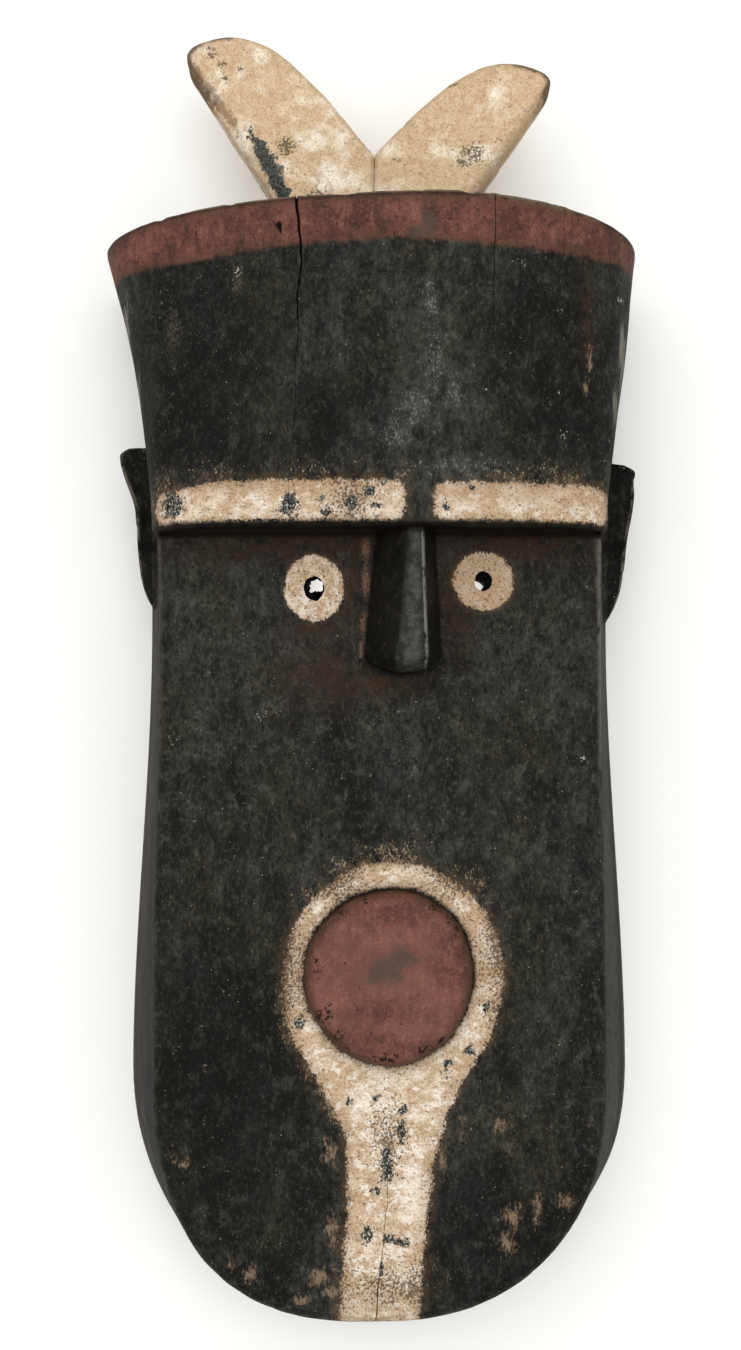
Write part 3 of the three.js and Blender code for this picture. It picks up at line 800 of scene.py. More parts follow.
# Depths in the eye rings count this many times over, so that their edges are cleaner than the others.
EYE_RING_CRISPNESS = 1.8
RING_CENTRE = (10, -137.4)
RING_RADIUS = 46.8
BEARD_LEFT = [(-150, -38), (-163, -34), (-175.8, -26.9), (-185.3, -20.9), (-195.2, -15.4), (-206.7, -9.8),
              (-240.6, -9.6), (-267.6, -12.4), (-292, -13)]
BEARD_RIGHT = [(-150, 55), (-163, 51.5), (-174.1, 45.1), (-183.6, 38.3), (-198.9, 31.9), (-219.4, 26),
               (-239.3, 24), (-277.3, 20.6), (-292, 20)]


def inside_box(x, y, box, corner):
    """Signed distance into a rectangle with round corners."""
    half_x = 0.5 * (box["right"] - box["left"]) - corner
    half_y = 0.5 * (box["top"] - box["bottom"]) - corner
    over_x = np.abs(x - 0.5 * (box["left"] + box["right"])) - half_x
    over_y = np.abs(y - 0.5 * (box["bottom"] + box["top"])) - half_y
    outside = np.hypot(np.maximum(over_x, 0), np.maximum(over_y, 0))
    return corner - outside - np.minimum(np.maximum(over_x, over_y), 0)


def inside_brows(x, y):
    # The outer half of the left brow sinks a little at its top.
    lowered = y + 4.5 * smoothstep(-x, 60, 92) * progress(y, BROW_Y, 70)
    return np.maximum(inside_box(x, lowered, LEFT_BROW, 5), inside_box(x, y, RIGHT_BROW, 5))


def inside_eye_rings(x, y):
    depths = []
    for eye in EYES:
        radius = np.hypot((x - eye["x"]) / eye["ring_half_width"], (y - eye["y"]) / eye["ring_half_height"])
        depths.append((1 - radius) * eye["ring_half_width"] * EYE_RING_CRISPNESS)
    return np.maximum(*depths)


def inside_beard(x, y):
    """The ring round the mouth and the stripe that runs from it down the chin."""
    rows, left = zip(*sorted(BEARD_LEFT))
    left = np.interp(y, rows, left)
    rows, right = zip(*sorted(BEARD_RIGHT))
    right = np.interp(y, rows, right)
    stripe = 0.85 * np.minimum(x - left, right - x)
    ring = RING_RADIUS - np.hypot(x - RING_CENTRE[0], y - RING_CENTRE[1])
    below = progress(-y, 148, 156)
    return lerp(ring, np.maximum(ring, stripe), below)


# Marks of wear, stains, painted light and painted shade: (x, y, half width, half height)

FRONT_MARKS = {
    "flaked": [
        (-84, 60.5, 5, 8), (-34, 58.8, 4.6, 5.6), (-18.1, 56.4, 2.4, 2.6), (-7.7, 59.6, 3.6, 3.2),
        (-0.6, 64.6, 2.8, 2.4), (2.3, 58.7, 2.8, 1.3), (-20.2, 61.4, 1.8, 2), (6.5, 68.9, 2.4, 1.4),
        (31.5, 58.3, 1.8, 2), (41.9, 66.1, 1.4, 1.4), (-9.2, -191.2, 1.6, 2.4), (2.3, -190.3, 2, 2),
        (6.6, -215.8, 2, 8), (2.3, -228.2, 2.2, 2.2), (-1.3, -246.9, 3.1, 4.4), (8.2, -249, 2.6, 2.6),
        (13.4, -194.5, 2.2, 1.9), (13.3, -203.3, 1.9, 6.1), (32, -181, 3.5, 2.4), (7.4, -219.5, 3.3, 7),
        (12.2, -249.8, 5.2, 2.2), (4.4, -260.6, 1.5, 3.5), (32.9, -175.3, 3, 2.2), (42, -170.3, 2.6, 2.6),
        (49.6, -151, 2.4, 2.6), (-30, -158, 2.4, 3),
    ],
    "bare": [
        (60.2, -239.5, 4.4, 6.1), (57.8, -250.4, 4.4, 5.3), (70.6, -236.3, 2, 10.5), (83, -234, 4.8, 3.5),
        (54.8, -201.4, 4, 4), (30.3, -215.4, 2.2, 8.7), (38.8, -203.4, 1.6, 7), (-51, -264.2, 3.5, 4.4),
        (-59.1, -260.2, 1.4, 3.5), (-21.3, -264.4, 6.1, 4.4), (-16.2, -270.6, 6.5, 3.5),
        (-29.8, -274.4, 5, 2.4), (-6.5, -277.5, 9, 3), (-17, -213, 4, 7), (-16, -246, 3, 9),
        (93.4, 122.9, 1.5, 7.5), (91.3, 110.6, 1.6, 4.1), (-80.5, -218, 4, 2.4),
    ],
    "haze": [
        (84.3, -192.9, 2.6, 5.4), (93.7, -199.7, 2.6, 5.4), (27.1, -259.5, 2.6, 7),
        (32.6, -264.2, 1.8, 4.4), (59.2, -211, 5, 7), (41.2, -263.1, 2.6, 3.5), (-42.6, -208.5, 1.2, 9.6),
        (-85, -214.5, 4, 3), (-84, 136, 4, 16), (-56, 152, 4, 7), (-88, 72, 6, 8),
    ],
    "scuffed": [
        (25, 143, 5, 15), (27, 118, 7, 17), (20, 100, 11, 13), (36, 104, 8, 12), (10, 88, 12, 9),
        (37, 74, 26, 8),
    ],
    "specks": [
        (63.8, 159.8, 2.2, 2.2), (78.6, 142.1, 2, 2), (108.8, 152.7, 2.4, 2.4), (81.5, 89.2, 2, 2),
        (92, -46.9, 2.2, 2.2), (-47.6, -27.6, 2.2, 2.2), (-85.6, -38.3, 2.2, 2.2), (-55.9, 155.6, 2.6, 2.6),
    ],
    "nose_streaks": [
        (-2.2, 44, 2.8, 8), (-2.2, 30, 2.4, 11), (-3.2, 12, 1.7, 10), (-4.4, 0, 1.3, 6),
    ],
    "dull": [
        (48.8, 30.2, 22, 22), (-36, -128, 5, 26), (52, -122, 6, 26), (36, -98, 14, 7), (-14, -98, 12, 7),
        (0, -275, 14, 9), (64, 64, 44, 7), (10, -90.5, 40, 2.5), (-10, 64, 14, 7), (-52, 67, 40, 4),
    ],
    "chalk": [
        (-66.6, 57.5, 9, 4), (-48.4, 58, 5, 5), (-26.5, 57, 6, 3.5), (1.4, 56, 10, 3.5), (30.3, 55, 6, 3),
        (63.8, 62.5, 8, 4), (93.8, 56.7, 5, 4), (-27.2, -107.8, 7, 6), (50.5, -123.7, 4, 10),
        (42.9, -158.2, 9, 6), (-26, 22, 9, 7), (18, -228, 7, 14), (4, -195, 8, 14),
    ],
    "peppered": [
        (-36, -130, 7, 32), (54, -124, 8, 30), (38, -98, 15, 9), (-16, -100, 14, 9), (-8, 60, 9, 9),
        (12, -268, 26, 9), (7, -205, 9, 16),
    ],
}
HORN_FLAKES = [
    (-38.3, 231.2, 4.8, 5.2), (-72.1, 275.5, 2.6, 2.2), (-67.9, 270.5, 2.4, 1.9), (-60.6, 268, 1.8, 1.8),
    (-73.5, 278.9, 2.4, 1.5), (-66.5, 264.2, 1.8, 1.8), (-41, 219.9, 3.4, 2.6), (58.5, 234.6, 1.2, 1.4),
    (46.5, 228, 6.4, 4.6), (42, 223.5, 3.4, 3), (36.8, 261, 3, 1.5), (18.4, 241.4, 1.2, 1.8),
    (12, 223.9, 2.4, 1.4), (-24, 206, 7, 5),
]
HORN_PALE = [
    (57.7, 253.6, 5, 8), (-50, 274, 6, 4), (-60, 268, 4, 4), (-27.5, 234, 8, 6), (-14, 214, 14, 8),
    (48, 228, 8, 6), (-58, 228, 3, 14),
]
# Light grey down the forehead's sides: partly wear, partly a painted sheen where the surface turns away.
SIDE_WEAR_AND_SHEEN = [
    (110, 130, 3.2, 20), (106, 106, 2.6, 14), (-108, 140, 3, 20), (-102.5, 108, 2.6, 18),
    (-99, 80, 2.4, 12),
]
# Warm brown: worn black about the eyes and nose, and painted light just below the brow, lifting its shade.
WARM_WOOD_AND_PAINTED_LIGHT = [
    (-10, 30, 11, 22), (37, 24, 9, 24), (-28, 46, 60, 8), (66, 46, 36, 8), (0, -14, 22, 6),
    (92, 140, 3, 22), (-24, 10, 14, 8), (-20, -10, 16, 16),
]
# Painted shade in the black: darker clouds on the forehead's sides, where it turns away from the light, and
# low on the face. Painted light: lighter clouds on the upper face.
SHADE_CLOUDS = [
    (-70, 118, 34, 48), (78, 112, 26, 44), (-20, 92, 22, 20), (-66, -190, 44, 70), (-74, 90, 26, 20),
    (70, -250, 50, 30),
]
LIT_CLOUDS = [(-60, 8, 32, 24), (76, 8, 24, 34), (20, 60, 6, 12)]
# A small pit in the red band, painted in as a dark spot of painted shade.
RED_HOLE = [(-38.3, 174.6, 1.7, 2), (-37.6, 172.2, 1, 1.6)]
RED_STAINS = [(24.6, 174.3, 3.6, 6.8), (18.4, 170.2, 4.4, 3.2), (6.5, -135, 10, 8), (13, -130, 9, 6)]
# Painted shade on the mouth disc: over its lower middle, its right side and its top and bottom edges.
MOUTH_SHADE = [(5, -153, 15, 6), (35, -128, 9, 22), (0, -166, 30, 6), (8, -112, 24, 7)]
MOUTH_NICKS = [
    (-13, -111.3, 2.6, 2.6), (-2, -106.3, 1.6, 3), (27, -108.8, 4, 2), (33.5, -113.3, 2.4, 2.4),
    (36.5, -118.3, 2.2, 3.4), (-22.5, -134.3, 2, 5), (-21.5, -155.3, 2.4, 5), (-17.5, -152.3, 2, 4),
    (-14, -162.8, 3.6, 3), (22, -167.8, 4, 2.2), (29, -164.3, 2.6, 2.4), (6, -171.3, 6, 2.2),
]
# Two lines on the left horn: (x, y, half width)
HORN_STRIPE = [
    (-55.6, 240, 0.6), (-51.4, 233.2, 2), (-47.6, 225.6, 3.6), (-43.2, 216.6, 3.4), (-38.8, 206.6, 2.6),
    (-35.4, 198.5, 2), (-31.4, 190, 1.5),
]
HORN_STAIN_LINE = [
    (-83, 273.5, 1.4), (-76.8, 264.5, 1.2), (-70.3, 254.8, 1.4), (-64.7, 246.2, 1.6), (-59.6, 238, 0.8),
]


def soft_blots(x, y, marks):
    """Soft clouds over some oval marks: 1 in the middle of one and about a third at its edge."""
    total = np.zeros(len(x))
    for mark_x, mark_y, half_width, half_height in marks:
        radius = np.hypot((x - mark_x) / half_width, (y - mark_y) / half_height)
        total = np.maximum(total, np.exp(-radius * radius))
    return total


def from_segment(x, y, start, end):
    """How far along a straight piece the nearest place to each point lies, from 0 to 1, and how far away."""
    along_x = end[0] - start[0]
    along_y = end[1] - start[1]
    share = ((x - start[0]) * along_x + (y - start[1]) * along_y) / (along_x ** 2 + along_y ** 2)
    share = np.clip(share, 0, 1)
    return share, np.hypot(x - start[0] - share * along_x, y - start[1] - share * along_y)


def stripe_depth(x, y, path):
    """How deep a point is in a stripe of changing half width, in millimetres."""
    deepest = np.full(len(x), -50.0)
    for start, end in zip(path[:-1], path[1:]):
        share, away = from_segment(x, y, start, end)
        deepest = np.maximum(deepest, lerp(start[2], end[2], share) - away)
    return deepest


def horn_edge_distance(x, y):
    """How far a point is from the nearest edge of the horns' outline."""
    shares = np.linspace(0, 1, 25)
    nearest = np.full(len(x), 50.0)
    for horn in HORNS:
        for edge in (horn_inner_edge, horn_outer_edge):
            path = [(*edge(horn, share), 0) for share in shares]
            nearest = np.minimum(nearest, -stripe_depth(x, y, path))
    return nearest


class Spots:
    """Where the mesh's points lie, in the terms that the paint is told in."""

    def __init__(self, points):
        self.x, self.y, self.z = x, y, z = points.T
        face = face_height(x, y)
        front = np.where(y > BROW_Y, forehead_front(x, np.maximum(y, BROW_Y)), face)
        self.below_front = front - z
        self.below_face = np.where(y > BROW_Y + 10, front, face) - z
        self.beyond_rim = y - rim_y(x)
        half_width = lerp(rear_half_width(y), front_half_width(y), np.clip(z / face_edge_height(y), 0, 1))
        self.from_side = half_width - np.abs(x - centre_x(y))
        self.mouth_angle = np.arctan2(y - MOUTH_CENTRE[1], x - MOUTH_CENTRE[0])
        from_mouth = np.hypot(x - MOUTH_CENTRE[0], y - MOUTH_CENTRE[1])
        self.in_mouth = MOUTH_RADIUS * mouth_uneven(self.mouth_angle) + 0.3 - from_mouth
        self.on_horn = (self.beyond_rim > 1.2) & (z > HORN_FRONT_HEIGHT - 14)
        self.on_face = self.below_front < 8
        self.on_ear = (self.from_side < -1.5) & (y < max(ear["top_y"] for ear in EARS) + 1) & (y > 0)

    def blots(self, marks):
        return soft_blots(self.x, self.y, marks)


def thin_line(distance, full, faded):
    """1 within the distance full of a line, fading to 0 at the distance faded."""
    return smoothstep(-np.abs(distance), -faded, -full)


def paint_areas(at):
    """How deep each point is in each paint, in millimetres, and where the cream is smooth or dusty beside."""
    x, y, z, below_front, beyond_rim = at.x, at.y, at.z, at.below_front, at.beyond_rim
    brows = np.minimum(inside_brows(x, y), 3.4 - below_front)
    eye_rings = np.minimum(inside_eye_rings(x, y), 1.6 - below_front)
    beard = np.minimum.reduce([inside_beard(x, y), 5 - below_front, -at.in_mouth - 0.3])
    band = np.minimum(y - np.interp(x, *zip(*RED_BAND_EDGE)), -beyond_rim - 1.8)
    above_brows = 0.75 * smoothstep(inside_brows(x, y), -16, 0)
    above_brows = above_brows * (y > np.where(x > 0, RIGHT_BROW["top"], BROW_Y + 8))
    above_ring = smoothstep(beard, -17, 0) * smoothstep(y, RING_CENTRE[1] + 10, RING_CENTRE[1] + 40)
    beside_beard = smoothstep(beard, -7, 0) * (x < 0) * (y < RING_CENTRE[1])
    # On the right the black paint reaches further down the side than on the left.
    down_wall = below_front - 34 * smoothstep(x, -70, 70)
    down_wall = np.where((y > BROW_Y) & (below_front > 1.5), below_front + 22, down_wall)
    hollow = [at.from_side - 3, at.below_face - 7, -beyond_rim - 3, y - CHIN_END_Y - 7]
    return {
        "cream": np.maximum.reduce([brows, eye_rings, beard]),
        "smooth": inside_eye_rings(x, y) > -2,
        "dust": np.maximum.reduce([above_brows, above_ring, beside_beard]) * at.on_face,
        "red": np.maximum(band, np.minimum(at.in_mouth, z - 54)),
        "horn": beyond_rim - 1.2,
        "horn_edge": np.where(at.on_horn, horn_edge_distance(x, y), 50),
        "horn_stain": np.where(at.on_horn, stripe_depth(x, y, HORN_STAIN_LINE), -50),
        "horn_stripe": np.where(at.on_horn, stripe_depth(x, y, HORN_STRIPE), -50),
        "hollow": np.minimum.reduce(hollow),
        "wall": np.where((at.from_side < 2.5) & (beyond_rim < 0) & ~at.on_ear, down_wall, 0),
    }


def nose_areas(at):
    """The nose, its crest, where a painted sheen lies, and its right ridge, where a painted highlight lies.
    """
    left, right, left_flank = nose_sides(at.y)
    share = (at.x - left) / (right - left)
    to_ridge = (1 - NOSE_RIGHT_FLANK - share) * (right - left)
    crest = np.minimum((share - left_flank) * (right - left), to_ridge)
    on_nose = (share > -0.02) & (share < 1.02) & (at.y > NOSE_END_Y - 1) & (at.y < BROW_Y + 1)
    on_nose = on_nose & (at.below_front < -1.5)
    return {
        "nose": on_nose * 1.0,
        "crest": np.where(on_nose, crest, -50),
        "ridge_highlight": np.where(on_nose, np.abs(to_ridge), 50),
    }


def nose_outline(x, y):
    """How far outside the nose's lower end a point is. Further up every point counts as well away from it."""
    left, right, _ = nose_sides(y)
    share = np.clip((x - left) / (right - left), 0, 1)
    nose_end = NOSE_END_Y + NOSE_END_BOW * (2 * share - 1) ** 2
    return np.maximum.reduce([nose_end - y, left - x + 40 * (y > NOSE_END_Y + 6), x - right])


def painted_shade_and_wear_areas(at):
    """Painted shade in corners, creases and holes, painted light and brown wear about the brow and nose, and
    lines along the rim and the edges, from 0 to 1.
    """
    x, y, z, below_front, beyond_rim = at.x, at.y, at.z, at.below_front, at.beyond_rim
    # Painted shade and light: the underside of the brow is painted black close to its edge, and painted light
    # in a warm brown further back.
    underside = (y > BROW_Y - 1) & (y < BROW_Y + 12) & (below_front > 2) & (z > FACE_HEIGHT_AT_BROW - 4)
    under_brow = underside * smoothstep(-below_front, -14, -8)
    # Painted shade: a dark line along the lower edge of the brow.
    brow_line = smoothstep(-y, -53.0, -51.6) * (y > BROW_Y - 2)
    # Painted shadow: a dark line round the lower end of the nose and its right foot.
    nose_line = thin_line(nose_outline(x, y) - 0.4, 0.3, 1.7) * (y < BROW_Y) * (below_front > -9)
    # Painted shade in the groove round the mouth, darkest at its upper right.
    groove_strength = 0.4 + 0.6 * smoothstep(np.cos(at.mouth_angle - 1.1), -0.6, 0.5)
    groove = thin_line(at.in_mouth - 0.2, 0.3, 1.5) * (z > 40) * groove_strength
    rim_line = thin_line(beyond_rim + 2.3, 0.2, 1.2) + (np.abs(beyond_rim - 1) < 1.6) * at.on_horn
    face_edge = thin_line(at.below_face - 1.7, 0.4, 1.5) * (at.from_side < 5) * (y < BROW_Y) * (z > 30)
    # Painted shade: the eye holes' walls and a small pit in the red band are painted near black.
    hole = at.blots(RED_HOLE) * at.on_face
    for eye in EYES:
        in_hole = np.hypot(x - eye["x"], y - eye["y"]) < eye["half_height"] + 2.5
        hole = np.maximum(hole, in_hole * smoothstep(below_front, 0.2, 1.2))
    return {
        "grime": np.minimum(under_brow + groove + brow_line + nose_line, 1),
        "warm": np.where(underside, 1, at.blots(WARM_WOOD_AND_PAINTED_LIGHT) * at.on_face),
        "rim_line": np.minimum(rim_line, 1),
        "rim_edge": (beyond_rim > -1.7) * (beyond_rim < 1.2) * (below_front < 4),
        "face_edge": face_edge * smoothstep(y, -90, -20) * np.where(x > 0, 1, 0.3),
        "hole": hole,
    }


def wear_areas(at):
    """Soft blots of wear, stains, painted light and painted shade, 1 or less in the middle of a mark."""
    areas = {name: at.blots(marks) * at.on_face for name, marks in FRONT_MARKS.items()}
    tips = smoothstep(at.y, 244, 262) * smoothstep(np.abs(at.x), 50, 68)
    # The dark area: painted shade, less where painted light lies, and the ears darker.
    dark = np.maximum(at.blots(SHADE_CLOUDS), at.on_ear)
    return areas | {
        "horn_flaked": at.blots(HORN_FLAKES) * at.on_horn,
        "horn_dirt": smoothstep(-horn_edge_distance(at.x, at.y), -5, 0) * tips * at.on_horn,
        "pale": (at.blots(HORN_PALE) - 0.35 * smoothstep(at.x, 0, 16)) * at.on_horn,
        "red_stain": at.blots(RED_STAINS),
        "side_wear": at.blots(SIDE_WEAR_AND_SHEEN) * (at.z > 40),
        "dark": dark - 0.7 * at.blots(LIT_CLOUDS),
        "nicks": at.blots(MOUTH_NICKS) * at.on_face * (at.in_mouth > 0.5),
        # The disc is painted lighter, less where painted shade lies on it.
        "disc": smoothstep(at.in_mouth, 0, 8) * (1 - 0.8 * at.blots(MOUTH_SHADE)),
    }


def store_areas(mesh):
    points, edges, normals = mesh_arrays(mesh)
    at = Spots(points)
    areas = paint_areas(at) | nose_areas(at) | painted_shade_and_wear_areas(at) | wear_areas(at)
    areas["crack"] = near_cracks(points)
    areas["edge"] = standing_out(points, edges, normals, 4)
    for name, values in areas.items():
        attribute = mesh.attributes.new(name, "FLOAT", "POINT")
        attribute.data.foreach_set("value", values.astype(np.float32))


# Materials

def colour(red, green, blue):
    """A colour from the 0 to 255 numbers a screen shows, as the linear light a shader works in."""
    shares = [part / 255 for part in (red, green, blue)]
    linear = [s / 12.92 if s <= 0.04045 else ((s + 0.055) / 1.055) ** 2.4 for s in shares]
    return (*linear, 1)


class Paintbox:
    """Adds nodes to one material's tree. A value given as a word is the mesh's area of that name."""

    def __init__(self, material):
        material.use_nodes = True
        self.tree = material.node_tree
        self.shader = self.tree.nodes["Principled BSDF"]
        self.place = self.add("ShaderNodeTexCoord").outputs["Object"]

    def add(self, kind, *values, **settings):
        node = self.tree.nodes.new(kind)
        for name, setting in settings.items():
            setattr(node, name, setting)
        for i, value in enumerate(values):
            self.feed(node, i, value)
        return node

    def feed(self, node, name, value):
        if isinstance(value, str):
            value = self.add("ShaderNodeAttribute", attribute_name=value).outputs["Fac"]
        if isinstance(value, bpy.types.NodeSocket):
            self.tree.links.new(value, node.inputs[name])
        else:
            node.inputs[name].default_value = value

    def calc(self, operation, *values):
        return self.add("ShaderNodeMath", *values, operation=operation).outputs[0]

    def times(self, first, second):
        return self.calc("MULTIPLY", first, second)

    def plus(self, value, factor, base):
        """factor times value, plus base."""
        return self.calc("MULTIPLY_ADD", value, factor, base)

    def either(self, first, second):
        return self.calc("MAXIMUM", first, second)

    def noise(self, across, along, seed, detail=2, rough=0.55):
        """Noise from 0 to 1 whose lumps have the given sizes in millimetres across and along the mask."""
        scale = [1 / (size * METRES) for size in (across, along, across)]
        moved = self.add("ShaderNodeVectorMath", self.place, scale, (seed * 5.1, seed * 3.7, seed * 9.3),
                         operation="MULTIPLY_ADD")
        node = self.add("ShaderNodeTexNoise")
        self.feed(node, "Vector", moved.outputs[0])
        self.feed(node, "Scale", 1)
        self.feed(node, "Detail", detail)
        self.feed(node, "Roughness", rough)
        return node.outputs["Fac"]

    def ramp(self, value, low, high):
        """0 below low, 1 above high and smooth between. With low above high it falls."""
        node = self.add("ShaderNodeMapRange", value, low, high, interpolation_type="SMOOTHSTEP")
        return node.outputs["Result"]

    def mix(self, share, below, above):
        """below where share is 0, above where it is 1."""
        node = self.add("ShaderNodeMix", share, data_type="RGBA", clamp_factor=True)
        self.feed(node, 6, below)
        self.feed(node, 7, above)
        return node.outputs[2]

    def blend(self, value, low, high, first, second):
        """From the first colour to the second as value goes from low to high."""
        return self.mix(self.ramp(value, low, high), colour(*first), colour(*second))

    def over(self, paint, coats):
        """Thin coats over a paint. Each is (where it lies, its strength, red, green, blue)."""
        for share, strength, *tint in coats:
            paint = self.mix(self.times(share, strength), paint, colour(*tint))
        return paint

    def ragged(self, depth, *noises, soft=0.4):
        """A painted area's share with an edge broken up by pairs of (noise, reach in millimetres)."""
        for texture, reach in noises:
            depth = self.plus(self.calc("SUBTRACT", texture, 0.5), reach, depth)
        return self.ramp(depth, -soft, soft)


def black_paint(box, mottle):
    """Charcoal with soft clouds of olive and blue grey, a fine grain that comes and goes, and painted shade
    and light from the dark area.
    """
    # The dark area brings painted shade and painted light into the black's tone.
    tone = box.plus("dark", -0.2, box.noise(21, 64, 1, 6, 0.66))
    tints = box.noise(26, 40, 2, 5, 0.6)
    patches = box.noise(6, 9, 3, 5, 0.7)
    strokes = box.noise(1.5, 2.6, 6, 4, 0.72)
    grain = box.noise(1, 1.2, 4, 3, 0.7)
    flecks = box.plus("specks", 0.22, box.plus(mottle, 0.3, box.noise(1.1, 1.3, 5, 2, 0.6)))
    paint = box.blend(tone, 0.34, 0.62, (22, 22, 19), (50, 50, 46))
    return box.over(paint, [
        (box.ramp(tints, 0.5, 0.6), 0.55, 48, 46, 33),
        (box.ramp(tints, 0.47, 0.38), 0.35, 44, 46, 47),
        (box.ramp(patches, 0.5, 0.38), 0.65, 19, 19, 16),
        (box.ramp(patches, 0.52, 0.66), 0.45, 80, 80, 72),
        (box.ramp(mottle, 0.49, 0.38), 0.4, 20, 20, 17),
        (box.ramp(strokes, 0.49, 0.37), 0.65, 10, 10, 8),
        (box.ramp(strokes, 0.54, 0.68), 0.36, 92, 92, 83),
        (box.ramp(grain, 0.48, 0.36), 0.45, 10, 10, 8),
        # Painted shade where the dark area lies.
        ("dark", 0.5, 14, 14, 12),
        (box.ramp(flecks, 0.87, 0.93), 0.6, 190, 184, 168),
    ])


def worn_black(box, paint, mottle):
    """Rubbed, dusty and hazy places in the black paint, light grey wear with a painted sheen down the
    forehead's sides, and warm brown wear with painted light under the brow.
    """
    strokes = box.noise(0.8, 1.6, 7, 3, 0.75)
    haze = box.plus("haze", 0.32, box.times(strokes, 1.2))
    rubbed = box.plus("scuffed", 0.16, box.plus(mottle, 0.4, strokes))
    # Wear and a painted sheen down the sides.
    side = box.plus("side_wear", 0.5, box.noise(1.8, 24, 8, 4, 0.7))
    # Warm brown: wear, and painted light under the brow.
    warm = box.times("warm", box.ramp(mottle, 0.34, 0.54))
    patchy = box.ramp(mottle, 0.36, 0.6)
    dust = box.times("dust", box.ramp(box.noise(20, 16, 9, 3), 0.36, 0.6))
    grains = box.ramp(box.plus(dust, 0.2, box.plus(mottle, 0.3, strokes)), 0.82, 0.92)
    return box.over(paint, [
        (box.ramp(haze, 0.78, 1.08), 0.5, 104, 98, 84),
        (box.times("scuffed", patchy), 0.45, 76, 77, 73),
        (box.ramp(rubbed, 0.88, 1), 0.55, 136, 137, 130),
        (box.ramp(side, 0.74, 1), 0.7, 128, 124, 112),
        (warm, 0.85, 51, 37, 26),
        (box.times(dust, patchy), 0.45, 70, 60, 45),
        (box.times(grains, box.ramp(dust, 0, 0.3)), 0.75, 162, 144, 116),
    ])


def cream_paint(box):
    """Chalky cream: tan stains, white crusts, dark hairlines and grains. It is dull and thin at its edges."""
    clouds = box.plus("chalk", 0.14, box.noise(8, 9, 11, 5, 0.65))
    stains = box.noise(15, 13, 12, 5, 0.65)
    crusts = box.plus("chalk", 0.05, box.noise(4.4, 3.8, 19, 5, 0.7))
    hairs = box.plus("smooth", 0.06, box.noise(2.6, 1, 14, 4, 0.75))
    grains = box.plus("smooth", 0.03, box.noise(1, 1.1, 13, 3, 0.8))
    thin = box.ramp("cream", 7, 0)
    dots = box.plus("peppered", -0.15, box.plus(thin, -0.07, box.noise(1, 1.2, 18, 3, 0.7)))
    paint = box.blend(clouds, 0.44, 0.64, (200, 173, 142), (238, 221, 199))
    return box.over(paint, [
        (box.ramp(stains, 0.5, 0.62), 0.6, 188, 155, 121),
        (box.ramp(crusts, 0.47, 0.37), 0.55, 176, 146, 114),
        (box.ramp(crusts, 0.54, 0.61), 0.75, 250, 241, 226),
        (box.ramp(hairs, 0.42, 0.34), 0.75, 104, 78, 56),
        (box.ramp(grains, 0.46, 0.36), 0.5, 120, 92, 68),
        (box.ramp(grains, 0.55, 0.66), 0.45, 255, 248, 234),
        (box.plus("dull", 0.9, thin), 0.45, 158, 130, 101),
        (box.ramp(dots, 0.38, 0.31), 0.8, 62, 50, 40),
    ])


def horn_paint(box, fine, mottle):
    """The same cream, thicker and smoother, stained brown towards the edges and tips."""
    pale = box.plus("pale", 0.2, box.noise(13, 15, 15, 4, 0.6))
    grains = box.noise(1, 1.1, 16, 3, 0.75)
    flaked = box.plus("horn_flaked", 0.25, box.noise(1.3, 1.4, 17, 3, 0.7))
    dirt = box.plus("horn_dirt", 0.5, mottle)
    edge = box.ragged(box.plus("horn_edge", -1, 1.6), (mottle, 10), (fine, 2), soft=1.8)
    line = box.ragged("horn_stain", (mottle, 9), (fine, 3), soft=0.8)
    stripe = box.ragged("horn_stripe", (mottle, 11), (fine, 4))
    paint = box.blend(pale, 0.44, 0.74, (205, 177, 141), (242, 229, 208))
    paint = box.over(paint, [
        (box.ramp(mottle, 0.5, 0.38), 0.5, 182, 150, 116),
        (box.ramp(mottle, 0.53, 0.64), 0.2, 246, 232, 210),
        (box.ramp(grains, 0.48, 0.38), 0.45, 140, 108, 78),
        (box.ramp(grains, 0.54, 0.66), 0.25, 254, 244, 226),
        (edge, 0.35, 150, 120, 92),
        (box.ramp(dirt, 0.6, 0.92), 0.85, 80, 64, 50),
        (line, 0.6, 108, 80, 58),
        (box.ramp(flaked, 0.64, 0.7), 0.85, 84, 74, 60),
    ])
    dark = box.blend(fine, 0.4, 0.6, (44, 46, 44), (92, 94, 90))
    return box.mix(stripe, paint, dark)


def red_paint(box, fine, mottle):
    """Brick red, dirty brown along its edges, and a little lighter on the disc of the mouth, with painted
    shade over parts of the disc.
    """
    clouds = box.noise(16, 20, 21, 5, 0.6)
    streaks = box.noise(3, 30, 24, 3, 0.6)
    nicks = box.plus("nicks", -0.26, box.noise(1.4, 1.9, 23, 2, 0.6))
    rubbed = box.times(box.ramp("red", 7, 0), box.ramp(mottle, 0.36, 0.54))
    stain = box.plus(mottle, 1.8, "red_stain")
    paint = box.blend(clouds, 0.38, 0.62, (84, 53, 46), (112, 71, 61))
    return box.over(paint, [
        (box.ramp(mottle, 0.52, 0.66), 0.5, 138, 95, 82),
        (box.ramp(mottle, 0.48, 0.38), 0.6, 58, 39, 34),
        (box.ramp(streaks, 0.5, 0.38), 0.3, 70, 50, 43),
        (box.ramp(fine, 0.47, 0.36), 0.5, 46, 30, 26),
        (box.ramp(fine, 0.56, 0.68), 0.25, 166, 124, 110),
        # Lighter on the mouth disc, with its painted shade.
        ("disc", 0.3, 150, 102, 90),
        (rubbed, 0.6, 78, 55, 43),
        (box.ramp(nicks, 0.32, 0.26), 0.9, 22, 14, 11),
        (box.ramp(stain, 1.1, 1.85), 0.8, 74, 64, 57),
    ])


